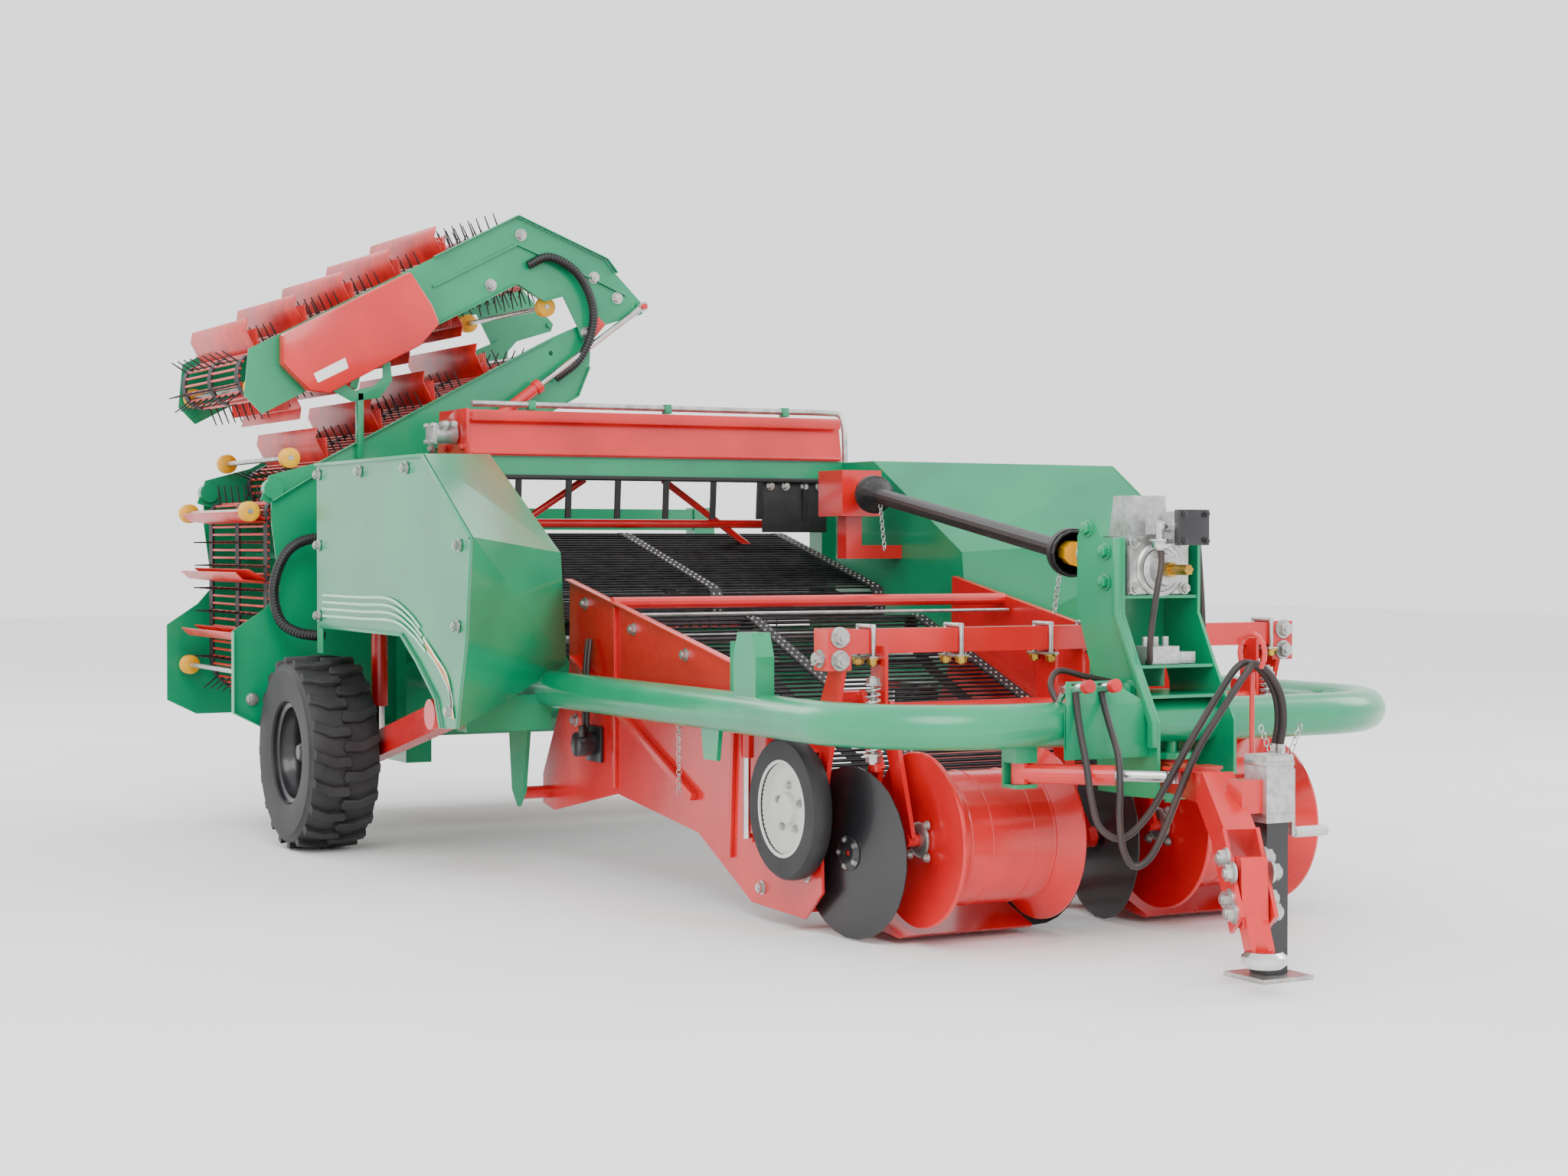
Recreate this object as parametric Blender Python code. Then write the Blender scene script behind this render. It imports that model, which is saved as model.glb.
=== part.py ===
"""Two-row trailed root-crop harvester, standing on its tyres and its drawbar jack.

Design frame: X = 0 on the centre line, Y = 0 at the wheel axles with +Y to the rear, Z = 0 on the ground.
The whole machine hangs on one empty that moves the origin under the middle of its bounding box.
"""

import math

import bmesh
import bpy
from mathutils import Vector

GAP = 0.0005
ORIGIN_SHIFT = Vector((0.048, 1.568, 0.0))

# main frame
TUBE_R = 0.070
TUBE_Z = 0.735
LEG_X = 1.060
FRONT_Y = -3.900
BEND_R = 0.450
LEG_END_Y = 0.205

# front tower, gearbox and shaft line
TOWER_IN = 0.145
TOWER_OUT = 0.157
STUB_Z = 1.221
SHAFT_FRONT = Vector((0.0, -3.370, 1.270))
SHAFT_REAR = Vector((0.700, -0.780, 1.530))

# drawbar
HOSE_R = 0.011
PIVOT = Vector((0.0, -3.900, 0.560))
STEER_BASE = Vector((-0.560, -3.870, 0.585))
STEER_END = Vector((-0.215, -4.205, 0.585))
JACK = Vector((-0.085, -4.500, 0.0))
JACK_TUBE = 0.040
JACK_LEG = 0.0330
EYE_FOOT = Vector((-0.290, -4.660, 0.310))
EYE_RING = Vector((-0.322, -4.772, 0.110))
HOSE_RING = Vector((-0.050, -4.375, 0.970))

# wheels and their arms
WHEEL_X = 1.590
WHEEL_R = 0.4155
WHEEL_W = 0.307
WHEEL_SIDES = 36
WHEEL_Z = WHEEL_R * math.cos(math.pi / WHEEL_SIDES)
ARM_PIVOT_Y = -1.240
ARM_PIVOT_Z = 0.645

# intake
INTAKE_PIVOT_Y = -0.920
INTAKE_PIVOT_Z = 0.290
INTAKE_X = 0.900
TOOLBAR_Y = -3.300
TOOLBAR_Z = 0.985
TOOLBAR_HALF = 0.960
TOOLBAR_SIDE = 0.080
ROLLER_X = 0.480
ROLLER_Y = -3.500
ROLLER_Z = 0.345
ROLLER_R = 0.285
ROLLER_HALF = 0.235
ROLLER_PIVOT = (-3.360, 0.760)
DISC_R = 0.285
DISC_Z = 0.290
DISC_Y = -3.300
DISC_YAW = math.radians(8.0)
OUTER_DISC_X = 0.840
INNER_DISC_X = 0.150
DISC_PIVOT = (-3.250, 0.800)
HAULM_X = 0.949
HAULM_Y = -3.070
HAULM_Z = 0.420
HAULM_R = 0.240
LIFT_TOP = Vector((-0.965, -2.790, 0.930))
LIFT_LOW = Vector((-0.955, -2.770, 0.290))
WEB_HALF = 0.850

# elevator, drawn in the X-Z plane between a near and a far plate
NEAR_Y = 0.440
FAR_Y = 1.548
PLATE_T = 0.008
BELT_Y0 = 0.520
BELT_Y1 = 1.468
FLIGHT_H = 0.150
LIFT_PIVOT = (-1.645, 1.550)
BELT_FOOT = (-1.450, 1.525)
FOLD_PIVOT = (-0.140, 2.300)
FOLD_BASE = (-1.018, 1.582)
LEVER_TIP = (0.139, 2.432)

GREEN = (0.0, 0.300, 0.150)
RED = (0.700, 0.020, 0.018)
BLACK = (0.012, 0.012, 0.013)
STEEL = (0.550, 0.550, 0.540)
YELLOW = (0.800, 0.420, 0.010)


def clear_scene():
    for item in list(bpy.data.objects):
        bpy.data.objects.remove(item, do_unlink=True)


def finish(name, colour, roughness, metallic):
    material = bpy.data.materials.get(name) or bpy.data.materials.new(name)
    material.use_nodes = True
    shader = material.node_tree.nodes["Principled BSDF"]
    shader.inputs["Base Color"].default_value = (*colour, 1.0)
    shader.inputs["Roughness"].default_value = roughness
    shader.inputs["Metallic"].default_value = metallic
    return material


def green_paint():
    return finish("green enamel", GREEN, 0.35, 0.0)


def red_paint():
    return finish("red enamel", RED, 0.35, 0.0)


def black_rubber():
    return finish("black rubber", BLACK, 0.75, 0.0)


def black_steel():
    return finish("black steel", BLACK, 0.45, 0.6)


def bare_steel():
    return finish("bare steel", STEEL, 0.35, 0.9)


def yellow_paint():
    return finish("yellow plastic", YELLOW, 0.45, 0.0)


# ---- solids ----------------------------------------------------------------------------------------

def solid(bm):
    bmesh.ops.recalc_face_normals(bm, faces=bm.faces)
    mesh = bpy.data.meshes.new("solid")
    bm.to_mesh(mesh)
    bm.free()
    item = bpy.data.objects.new("solid", mesh)
    bpy.context.scene.collection.objects.link(item)
    return item


def block(x0, x1, y0, y1, z0, z1):
    return prism([(y0, z0), (y1, z0), (y1, z1), (y0, z1)], "X", x0, x1)


def prism(outline, axis, low, high):
    """A straight extrusion: the outline is (y, z) along X, (x, z) along Y or (x, y) along Z."""
    place = {
        "X": lambda u, v, w: (w, u, v),
        "Y": lambda u, v, w: (u, w, v),
        "Z": lambda u, v, w: (u, v, w),
    }[axis]
    bm = bmesh.new()
    ends = [[bm.verts.new(place(u, v, w)) for u, v in outline] for w in (low, high)]
    bm.faces.new(ends[0])
    bm.faces.new(ends[1])
    count = len(outline)
    for i in range(count):
        j = (i + 1) % count
        bm.faces.new((ends[0][i], ends[0][j], ends[1][j], ends[1][i]))
    return solid(bm)


def frame_along(axis):
    axis = Vector(axis).normalized()
    side = Vector((0.0, 0.0, 1.0)) if abs(axis.z) < 0.9999 else Vector((1.0, 0.0, 0.0))
    right = side.cross(axis).normalized()
    return right, axis.cross(right).normalized(), axis


def turned(profile, centre, axis, sides=24, closed=False):
    """A lathe shape: the profile is (radius, distance along the axis); a flat side faces down."""
    right, up, along = frame_along(axis)
    centre = Vector(centre)
    bm = bmesh.new()
    rings = []
    for radius, distance in profile:
        middle = centre + along * distance
        if radius == 0.0:
            rings.append([bm.verts.new(middle)])
            continue
        ring = []
        for k in range(sides):
            angle = 2.0 * math.pi * (k + 0.5) / sides - math.pi / 2.0
            reach = right * math.cos(angle) + up * math.sin(angle)
            ring.append(bm.verts.new(middle + reach * radius))
        rings.append(ring)
    pairs = list(zip(rings, rings[1:]))
    if closed:
        pairs.append((rings[-1], rings[0]))
    elif len(rings[0]) > 1:
        bm.faces.new(rings[0])
        bm.faces.new(rings[-1])
    for first, second in pairs:
        for k in range(sides):
            j = (k + 1) % sides
            if len(first) == 1:
                bm.faces.new((first[0], second[k], second[j]))
            elif len(second) == 1:
                bm.faces.new((first[k], first[j], second[0]))
            else:
                bm.faces.new((first[k], first[j], second[j], second[k]))
    return solid(bm)


def rod(start, end, radius, sides=12):
    start = Vector(start)
    along = Vector(end) - start
    return turned([(radius, 0.0), (radius, along.length)], start, along, sides)


def sleeve(start, end, outer, inner, sides=16):
    start = Vector(start)
    along = Vector(end) - start
    far = along.length
    return turned([(inner, 0.0), (outer, 0.0), (outer, far), (inner, far)], start, along, sides, closed=True)


def bar(start, end, width, height):
    """A rectangular bar: width is level, height is across it."""
    start = Vector(start)
    end = Vector(end)
    right, up, along = frame_along(end - start)
    bm = bmesh.new()
    ends = []
    for point in (start, end):
        corners = ((-1, -1), (1, -1), (1, 1), (-1, 1))
        ends.append([bm.verts.new(point + right * a * width / 2 + up * b * height / 2) for a, b in corners])
    bm.faces.new(ends[0])
    bm.faces.new(ends[1])
    for i in range(4):
        j = (i + 1) % 4
        bm.faces.new((ends[0][i], ends[0][j], ends[1][j], ends[1][i]))
    return solid(bm)


def sweep(points, radius, sides=12):
    """A round tube along a path, with its rings carried along without twist."""
    points = [Vector(p) for p in points]
    steps = [(b - a).normalized() for a, b in zip(points, points[1:])]
    tangents = [steps[0]] + [(a + b).normalized() for a, b in zip(steps, steps[1:])] + [steps[-1]]
    right, up, along = frame_along(tangents[0])
    bm = bmesh.new()
    rings = []
    for index, (point, tangent) in enumerate(zip(points, tangents)):
        turn = along.rotation_difference(tangent)
        right = turn @ right
        up = turn @ up
        along = tangent
        stretch = 1.0
        bend = along
        if 0 < index < len(points) - 1:
            stretch = 1.0 / max(0.5, tangent.dot(steps[index]))
            bend = steps[index] - steps[index - 1]
            bend = bend.normalized() if bend.length > 1e-6 else along
        ring = []
        for k in range(sides):
            angle = 2.0 * math.pi * (k + 0.5) / sides
            offset = right * math.cos(angle) * radius + up * math.sin(angle) * radius
            if stretch > 1.0:
                offset = offset + bend * offset.dot(bend) * (stretch - 1.0)
            ring.append(bm.verts.new(point + offset))
        rings.append(ring)
    for first, second in zip(rings, rings[1:]):
        for k in range(sides):
            j = (k + 1) % sides
            bm.faces.new((first[k], first[j], second[j], second[k]))
    bm.faces.new(rings[0])
    bm.faces.new(rings[-1])
    return solid(bm)


def arc(cx, cy, radius, start, end, steps):
    """Points on an arc, with its angles in degrees."""
    angles = [math.radians(start + (end - start) * i / steps) for i in range(steps + 1)]
    return [(cx + radius * math.cos(a), cy + radius * math.sin(a)) for a in angles]


def smooth_route(points, samples):
    """Evenly spread points on a smooth curve through a hand-picked route."""
    points = [Vector(p) for p in points]
    padded = [points[0] * 2 - points[1]] + points + [points[-1] * 2 - points[-2]]
    fine = []
    for i in range(1, len(padded) - 2):
        a, b, c, d = padded[i - 1 : i + 3]
        for k in range(16):
            t = k / 16.0
            fine.append(
                0.5 * ((2 * b) + (c - a) * t + (2 * a - 5 * b + 4 * c - d) * t**2
                        + (3 * b - a - 3 * c + d) * t**3)
            )
    fine.append(points[-1])
    lengths = [0.0]
    for a, b in zip(fine, fine[1:]):
        lengths.append(lengths[-1] + (b - a).length)
    result = []
    place = 0
    for k in range(samples):
        target = lengths[-1] * k / (samples - 1)
        while place < len(fine) - 2 and lengths[place + 1] < target:
            place += 1
        span = max(1e-9, lengths[place + 1] - lengths[place])
        result.append(fine[place].lerp(fine[place + 1], min(1.0, (target - lengths[place]) / span)))
    return result


# ---- nodes -----------------------------------------------------------------------------------------

def machine_origin():
    empty = bpy.data.objects.new("machine_origin", None)
    empty.location = ORIGIN_SHIFT
    bpy.context.scene.collection.objects.link(empty)
    return empty


def joint_at(name, place):
    """An empty on a joint's axis, for the pieces that the joint carries."""
    empty = bpy.data.objects.new(name, None)
    empty.parent = bpy.data.objects["machine_origin"]
    empty.location = place
    bpy.context.scene.collection.objects.link(empty)
    return empty


def node(name, solids, material, joint=None, cuts=()):
    """Weld the solids into one body, cut it, and hang it on its joint's empty."""
    body = solids[0]
    helpers = list(solids[1:]) + list(cuts)
    for index, other in enumerate(helpers):
        modifier = body.modifiers.new("weld", "BOOLEAN")
        modifier.operation = "UNION" if index < len(solids) - 1 else "DIFFERENCE"
        modifier.solver = "EXACT"
        modifier.object = other
    if helpers:
        bpy.context.view_layer.update()
        welded = bpy.data.meshes.new_from_object(body.evaluated_get(bpy.context.evaluated_depsgraph_get()))
        body.modifiers.clear()
        body.data = welded
        for other in helpers:
            bpy.data.objects.remove(other, do_unlink=True)
    body.name = name
    body.data.name = name
    body.data.materials.clear()
    body.data.materials.append(material)
    body.data.shade_smooth()
    body.data.set_sharp_from_angle(angle=math.radians(35.0))
    body.parent = joint or bpy.data.objects["machine_origin"]
    if joint:
        body.location = -joint.location
    return body


# ---- main frame and front tower --------------------------------------------------------------------

def frame_route():
    """Centre line of the U-shaped tube, from the left leg round the front to the right leg."""
    left = arc(-LEG_X + BEND_R, FRONT_Y + BEND_R, BEND_R, 180.0, 270.0, 7)
    right = arc(LEG_X - BEND_R, FRONT_Y + BEND_R, BEND_R, 270.0, 360.0, 7)
    flat = [(-LEG_X, LEG_END_Y)] + left + right + [(LEG_X, LEG_END_Y)]
    return [(x, y, TUBE_Z) for x, y in flat]


def make_main_frame():
    solids = [sweep(frame_route(), TUBE_R, 16)]
    stand = [(-3.10, TUBE_Z), (-2.94, TUBE_Z), (-2.94, 0.93), (-2.97, 1.01), (-3.07, 1.01), (-3.10, 0.93)]
    solids.append(prism(stand, "X", -LEG_X - 0.035, -LEG_X + 0.035))
    for side in (-1, 1):
        x = side * LEG_X
        hanger = [(-2.79, TUBE_Z), (-2.63, TUBE_Z), (-2.66, 0.56), (-2.76, 0.56)]
        solids.append(prism(hanger, "X", x - 0.008, x + 0.008))
        reach = (x, side * 1.415)
        solids.append(block(min(reach), max(reach), ARM_PIVOT_Y - 0.06, ARM_PIVOT_Y + 0.06, 0.575, 0.715))
        leg = [(-1.06, TUBE_Z), (-0.80, TUBE_Z), (-0.86, 0.30), (-0.92, 0.235), (-0.98, 0.30)]
        solids.append(prism(leg, "X", *sorted((x - side * 0.028, x - side * 0.012))))
    solids.append(block(-1.010, -0.9982, -2.830, -2.750, TUBE_Z, 0.970))
    x = STEER_BASE.x
    solids.append(block(x - 0.040, x + 0.040, -3.905, -3.826, STEER_BASE.z + 0.034, 0.700))
    solids.append(block(x - 0.040, x + 0.040, -3.905, -3.826, STEER_BASE.z - 0.046, STEER_BASE.z - 0.034))
    solids.append(block(x - 0.040, x + 0.040, -3.836, -3.824, STEER_BASE.z - 0.044, 0.690))
    for low in (0.486, 0.614):
        plate = arc(PIVOT.x, PIVOT.y, 0.075, 200.0, 340.0, 6) + [(0.12, -3.79), (-0.12, -3.79)]
        solids.append(prism(plate, "Z", low, low + 0.020))
    solids.append(block(-0.10, 0.10, -3.812, -3.792, 0.486, TUBE_Z))
    solids.append(rod((0, PIVOT.y, 0.470), (0, PIVOT.y, 0.690), 0.020, 16))
    return node("main_frame", solids, green_paint())


def make_tower():
    side = [
        (-3.72, 0.50), (-3.70, 0.85), (-3.60, 1.09), (-3.60, 1.33), (-3.64, 1.385), (-3.70, 1.385),
        (-3.73, 1.325), (-3.85, 1.325), (-3.85, 1.08), (-3.93, 0.93), (-4.04, 0.74), (-4.04, 0.50),
    ]
    solids = [prism(side, "X", s * TOWER_IN, s * TOWER_OUT) for s in (1, -1)]
    inside = TOWER_IN + 0.004
    solids.append(block(-inside, inside, -3.668, -3.660, 0.83, 1.135))
    for low, front in ((0.812, -3.985), (0.906, -3.935), (1.128, -3.845)):
        solids.append(block(-inside, inside, front, -3.664, low, low + 0.010))
    solids.append(block(-0.470, -TOWER_IN - 0.004, -3.992, -3.978, 0.630, 0.800))
    tube = rod((-1.0, FRONT_Y, TUBE_Z), (1.0, FRONT_Y, TUBE_Z), TUBE_R + GAP, 16)
    pocket = block(-0.125, 0.125, -3.995, -3.780, 0.46, 0.70)
    return node("tower", solids, green_paint(), cuts=(tube, pocket))


def make_input_gearbox():
    solids = [block(-0.120, 0.120, -3.830, -3.660, 1.140, 1.330)]
    solids.append(prism([(-3.80, 1.32), (-3.66, 1.32), (-3.69, 1.462), (-3.79, 1.462)], "X", -0.075, 0.060))
    cap = [(0.070, 0.0), (0.070, 0.020), (0.055, 0.030), (0.050, 0.055)]
    solids.append(turned(cap, (0, -3.828, STUB_Z), (0, -1, 0), 20))
    solids.append(rod((0, -3.665, 1.270), (0, -3.412, 1.270), 0.032, 16))
    return node("input_gearbox", solids, bare_steel())


def make_hydraulic_pump():
    y0 = -3.8305
    solids = [block(-0.050, 0.050, y0 - 0.070, y0, 1.3355, 1.400)]
    solids.append(block(-0.040, 0.060, y0 - 0.150, y0 - 0.065, 1.305, 1.408))
    return node("hydraulic_pump", solids, black_steel())


def make_tractor_hose(name, side):
    return node(name, [sweep(smooth_route(tractor_hose_route(side), 44), HOSE_R, 8)], black_rubber())


def make_input_stub():
    joint = joint_at("pto_input_axis", (0, -3.930, STUB_Z))
    teeth = []
    for k in range(24):
        radius = 0.0175 if k % 4 < 2 else 0.0145
        angle = 2.0 * math.pi * k / 24
        teeth.append((radius * math.cos(angle), STUB_Z + radius * math.sin(angle)))
    solids = [prism(teeth, "Y", -3.995, -3.900)]
    solids.append(rod((0, -3.910, STUB_Z), (0, -3.8835, STUB_Z), 0.024, 16))
    return node("input_stub", solids, finish("brass", (0.62, 0.42, 0.16), 0.3, 0.9), joint)


def make_drive_shaft():
    joint = joint_at("drive_shaft_axis", SHAFT_FRONT)
    along = (SHAFT_REAR - SHAFT_FRONT).normalized()
    solids = [rod(SHAFT_FRONT + along * 0.045, SHAFT_REAR - along * 0.045, 0.020, 10)]
    for end, way in ((SHAFT_FRONT, along), (SHAFT_REAR, -along)):
        solids.append(rod(end + way * 0.010, end + way * 0.075, 0.042, 8))
        solids.append(bar(end - way * 0.030, end + way * 0.040, 0.022, 0.078))
    return node("drive_shaft", solids, yellow_paint(), joint)


def make_shaft_guard():
    along = SHAFT_REAR - SHAFT_FRONT
    far = along.length
    wall = 0.006
    outer = [(0.080, 0.015), (0.083, 0.060), (0.070, 0.110), (0.048, 0.150), (0.034, 0.170)]
    outer += [(0.034, far - 0.170), (0.048, far - 0.150), (0.070, far - 0.110), (0.083, far - 0.060)]
    outer += [(0.080, far - 0.015)]
    inner = [(r - wall, d) for r, d in reversed(outer)]
    return node("shaft_guard", [turned(outer + inner, SHAFT_FRONT, along, 14, closed=True)], black_rubber())


def make_transfer_gearbox():
    solids = [block(0.600, 0.800, -0.700, -0.480, 1.430, 1.635)]
    solids.append(rod((0.700, -0.738, 1.530), (0.700, -0.69, 1.530), 0.032, 16))
    solids.append(block(0.660, 0.740, -0.630, -0.550, 1.240, 1.440))
    solids.append(block(0.70, 0.9495, -0.630, -0.550, 1.240, 1.300))
    return node("transfer_gearbox", solids, red_paint())


# ---- covers, chassis, hood -------------------------------------------------------------------------

def shell(corners, faces, thickness):
    """Folded sheet metal: flat faces given by corner names, thickened inwards."""
    bm = bmesh.new()
    verts = {key: bm.verts.new(place) for key, place in corners.items()}
    for face in faces:
        bm.faces.new([verts[key] for key in face])
    bmesh.ops.recalc_face_normals(bm, faces=bm.faces)
    mesh = bpy.data.meshes.new("shell")
    bm.to_mesh(mesh)
    bm.free()
    item = bpy.data.objects.new("shell", mesh)
    bpy.context.scene.collection.objects.link(item)
    thicken = item.modifiers.new("thicken", "SOLIDIFY")
    thicken.thickness = thickness
    thicken.offset = -1.0
    thicken.use_even_offset = True
    thicken.use_rim = True
    return item


def make_side_cover(name, side):
    outer = -1.600
    inner = -0.950
    corners = {
        "top_rear_out": (outer, -0.02, 1.65), "top_front_out": (outer, -1.34, 1.65),
        "nose_out": (outer, -1.85, 1.33), "shin_out": (outer, -1.80, 0.95), "toe_out": (outer, -1.70, 0.62),
        "toe_back": (outer, -1.52, 0.61), "arch_a": (outer, -1.47, 0.716), "arch_b": (outer, -1.27, 0.847),
        "arch_c": (outer, -1.09, 0.944), "arch_d": (outer, -0.096, 0.948), "post_a": (outer, -0.096, 0.84),
        "post_b": (outer, -0.02, 0.84),
        "top_rear_in": (inner, -0.02, 1.69), "top_front_in": (inner, -0.375, 1.69),
        "nose_in": (inner, -1.14, 1.27), "toe_in": (inner, -1.20, 0.825), "low_in": (inner, -0.02, 0.825),
    }
    faces = [
        ("top_rear_out", "top_front_out", "nose_out", "shin_out", "toe_out", "toe_back", "arch_a", "arch_b",
         "arch_c", "arch_d", "post_a", "post_b"),
        ("top_rear_out", "top_front_out", "top_front_in", "top_rear_in"),
        ("top_front_out", "nose_out", "nose_in", "top_front_in"),
        ("nose_out", "shin_out", "toe_in", "nose_in"),
        ("shin_out", "toe_out", "toe_in"),
        ("top_rear_in", "top_front_in", "nose_in", "toe_in", "low_in"),
    ]
    corners = {key: (x * -side, y, z) for key, (x, y, z) in corners.items()}
    item = shell(corners, faces, 0.005)
    leg = rod((side * LEG_X, -2.2, TUBE_Z), (side * LEG_X, 0.3, TUBE_Z), TUBE_R + 0.004, 16)
    return node(name, [item], green_paint(), cuts=(leg,))


def make_rear_chassis():
    solids = []
    for side in (-1, 1):
        reach = sorted((side * 1.00, side * 1.12))
        solids.append(block(*reach, 0.2055, 0.330, 0.335, 1.585))
        solids.append(block(*reach, 0.2055, 1.700, 0.330, 0.425))
        solids.append(block(*reach, 1.600, 1.700, 0.335, 1.500))
        solids.append(block(*sorted((side * 0.9555, side * 1.040)), -0.300, 0.210, 1.460, 1.585))
        bracket = sorted((side * 1.10, side * 1.360))
        solids.append(block(*bracket, -0.010, 0.329, 0.985, 1.010))
        solids.append(block(*bracket, 0.2095, 0.326, 0.990, 1.060))
    solids.append(block(-1.05, 1.05, 0.210, 0.325, 0.540, 0.640))
    solids.append(block(-1.05, 1.05, 1.605, 1.695, 0.336, 0.424))
    solids.append(block(-1.05, 1.05, 1.610, 1.690, 1.380, 1.490))
    return node("rear_chassis", solids, green_paint())


def make_cross_beam():
    solids = [block(-0.9490, 0.9490, -0.090, 0.030, 1.600, 1.695)]
    for side in (-1, 1):
        solids.append(block(*sorted((side * 0.8405, side * 0.852)), -0.158, -0.085, 1.584, 1.640))
    return node("cross_beam", solids, green_paint())


def make_hood():
    outline = [(-0.105, 1.6957), (0.30, 1.6957), (0.27, 1.90), (-0.020, 1.90), (-0.075, 1.855)]
    return node("hood", [prism(outline, "X", -0.935, 0.935)], red_paint())


def make_finger_curtain():
    joint = joint_at("finger_curtain_axis", (0, -0.140, 1.600))
    solids = [rod((-0.84, -0.140, 1.600), (0.84, -0.140, 1.600), 0.012, 8)]
    for k in range(7):
        x = -0.72 + 0.24 * k
        solids.append(bar((x, -0.140, 1.602), (x, -0.126, 1.420), 0.026, 0.014))
    return node("finger_curtain", solids, black_steel(), joint)


def web_slab(points, thickness, half):
    """A rod web as one closed band that follows its run, seen from the side."""
    low = [(y, z - thickness) for y, z in points]
    return prism(points + low[::-1], "X", -half, half)


def make_upper_web():
    solids = [web_slab([(-0.66, 1.115), (0.37, 1.375)], 0.16, WEB_HALF)]
    solids.append(rod((-0.9495, 0.290, 1.275), (0.9495, 0.290, 1.275), 0.028, 12))
    return node("upper_web", solids, black_rubber())


# ---- drawbar ---------------------------------------------------------------------------------------

def make_drawbar(joint):
    solids = [sleeve((0, PIVOT.y, 0.5070), (0, PIVOT.y, 0.6130), 0.055, 0.0205, 16)]
    solids.append(bar((-0.016, -3.940, 0.560), (-0.200, -4.400, 0.560), 0.090, 0.090))
    solids.append(bar((-0.185, -4.365, 0.570), (-0.258, -4.565, 0.420), 0.098, 0.110))
    across = eye_way().cross(Vector((0, 0, 1))).normalized()
    for offset in (-0.051, 0.051):
        cheek = EYE_FOOT + across * offset
        solids.append(bar(cheek + Vector((0.035, 0.105, 0.130)),
                          cheek + Vector((-0.015, -0.045, -0.110)), 0.012, 0.110))
    solids.append(block(JACK.x - 0.130, JACK.x - 0.052, JACK.y - 0.035, JACK.y + 0.035, 0.500, 0.600))
    ear = STEER_END
    solids.append(block(ear.x - 0.020, ear.x + 0.160, ear.y - 0.035, ear.y + 0.035, 0.6055, 0.6155))
    solids.append(block(ear.x + 0.085, ear.x + 0.150, ear.y - 0.035, ear.y + 0.035, 0.575, 0.612))
    x, y = HOSE_RING.x, HOSE_RING.y
    solids.append(bar((-0.200, y, 0.595), (x + 0.012, y, 0.595), 0.024, 0.016))
    mast = [Vector((x, y, 0.592)), Vector((x, y, 0.750)), Vector((x, y, HOSE_RING.z - 0.062))]
    for step in range(13):
        angle = math.radians(-75 + 25 * step)
        mast.append(HOSE_RING + Vector((0.0, 0.060 * math.cos(angle), 0.060 * math.sin(angle))))
    solids.append(sweep(mast, 0.008, 8))
    return node("drawbar", solids, red_paint(), joint)


def eye_way():
    """Level direction in which the swung drawbar points at its eye."""
    return Vector((-0.090, -0.260, 0.0)).normalized()


def make_tow_eye(joint):
    way = eye_way()
    top = EYE_FOOT + Vector((0.0, 0.0, 0.085)) + way * 0.020
    low = EYE_FOOT + Vector((0.0, 0.0, -0.120)) + way * 0.035
    solids = [bar(top, low, 0.080, 0.055)]
    solids.append(bar(low + Vector((0, 0, 0.030)), EYE_RING - way * 0.035 + Vector((0, 0, 0.012)),
                      0.072, 0.050))
    ring = [(0.024, -0.022), (0.050, -0.022), (0.065, -0.010), (0.065, 0.010), (0.050, 0.022),
            (0.024, 0.022)]
    solids.append(turned(ring, EYE_RING, (0, 0, 1), 20, closed=True))
    hole = rod(EYE_RING + Vector((0, 0, -0.08)), EYE_RING + Vector((0, 0, 0.08)), 0.0245, 20)
    return node("tow_eye", solids, red_paint(), joint, cuts=(hole,))


def square_post(half, low, high):
    return block(JACK.x - half, JACK.x + half, JACK.y - half, JACK.y + half, low, high)


def make_jack(drawbar_joint):
    """A fixed square tube under a head, with the leg and its foot sliding inside it."""
    x, y = JACK.x, JACK.y
    pocket = square_post(JACK_TUBE + GAP, 0.400, 0.600)
    node("jack_head", [square_post(0.0515, 0.470, 0.672)], bare_steel(), drawbar_joint, cuts=(pocket,))
    bore = square_post(JACK_LEG + GAP, 0.0, 0.650)
    node("jack_tube", [square_post(JACK_TUBE, 0.0135, 0.595)], black_steel(), drawbar_joint, cuts=(bore,))
    leg_joint = joint_at("jack_leg_axis", (x, y, 0.100))
    leg = [square_post(JACK_LEG, 0.010, 0.560), square_post(0.095, 0.0, 0.012)]
    node("jack_leg", leg, bare_steel(), leg_joint)
    crank_joint = joint_at("jack_crank_axis", (x + 0.052, y, 0.620))
    crank = [rod((x + 0.052, y, 0.620), (x + 0.090, y, 0.620), 0.009, 8)]
    crank.append(bar((x + 0.086, y, 0.625), (x + 0.086, y, 0.425), 0.020, 0.012))
    crank.append(rod((x + 0.083, y, 0.432), (x + 0.215, y, 0.432), 0.012, 10))
    node("jack_crank", crank, bare_steel(), crank_joint)


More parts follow.
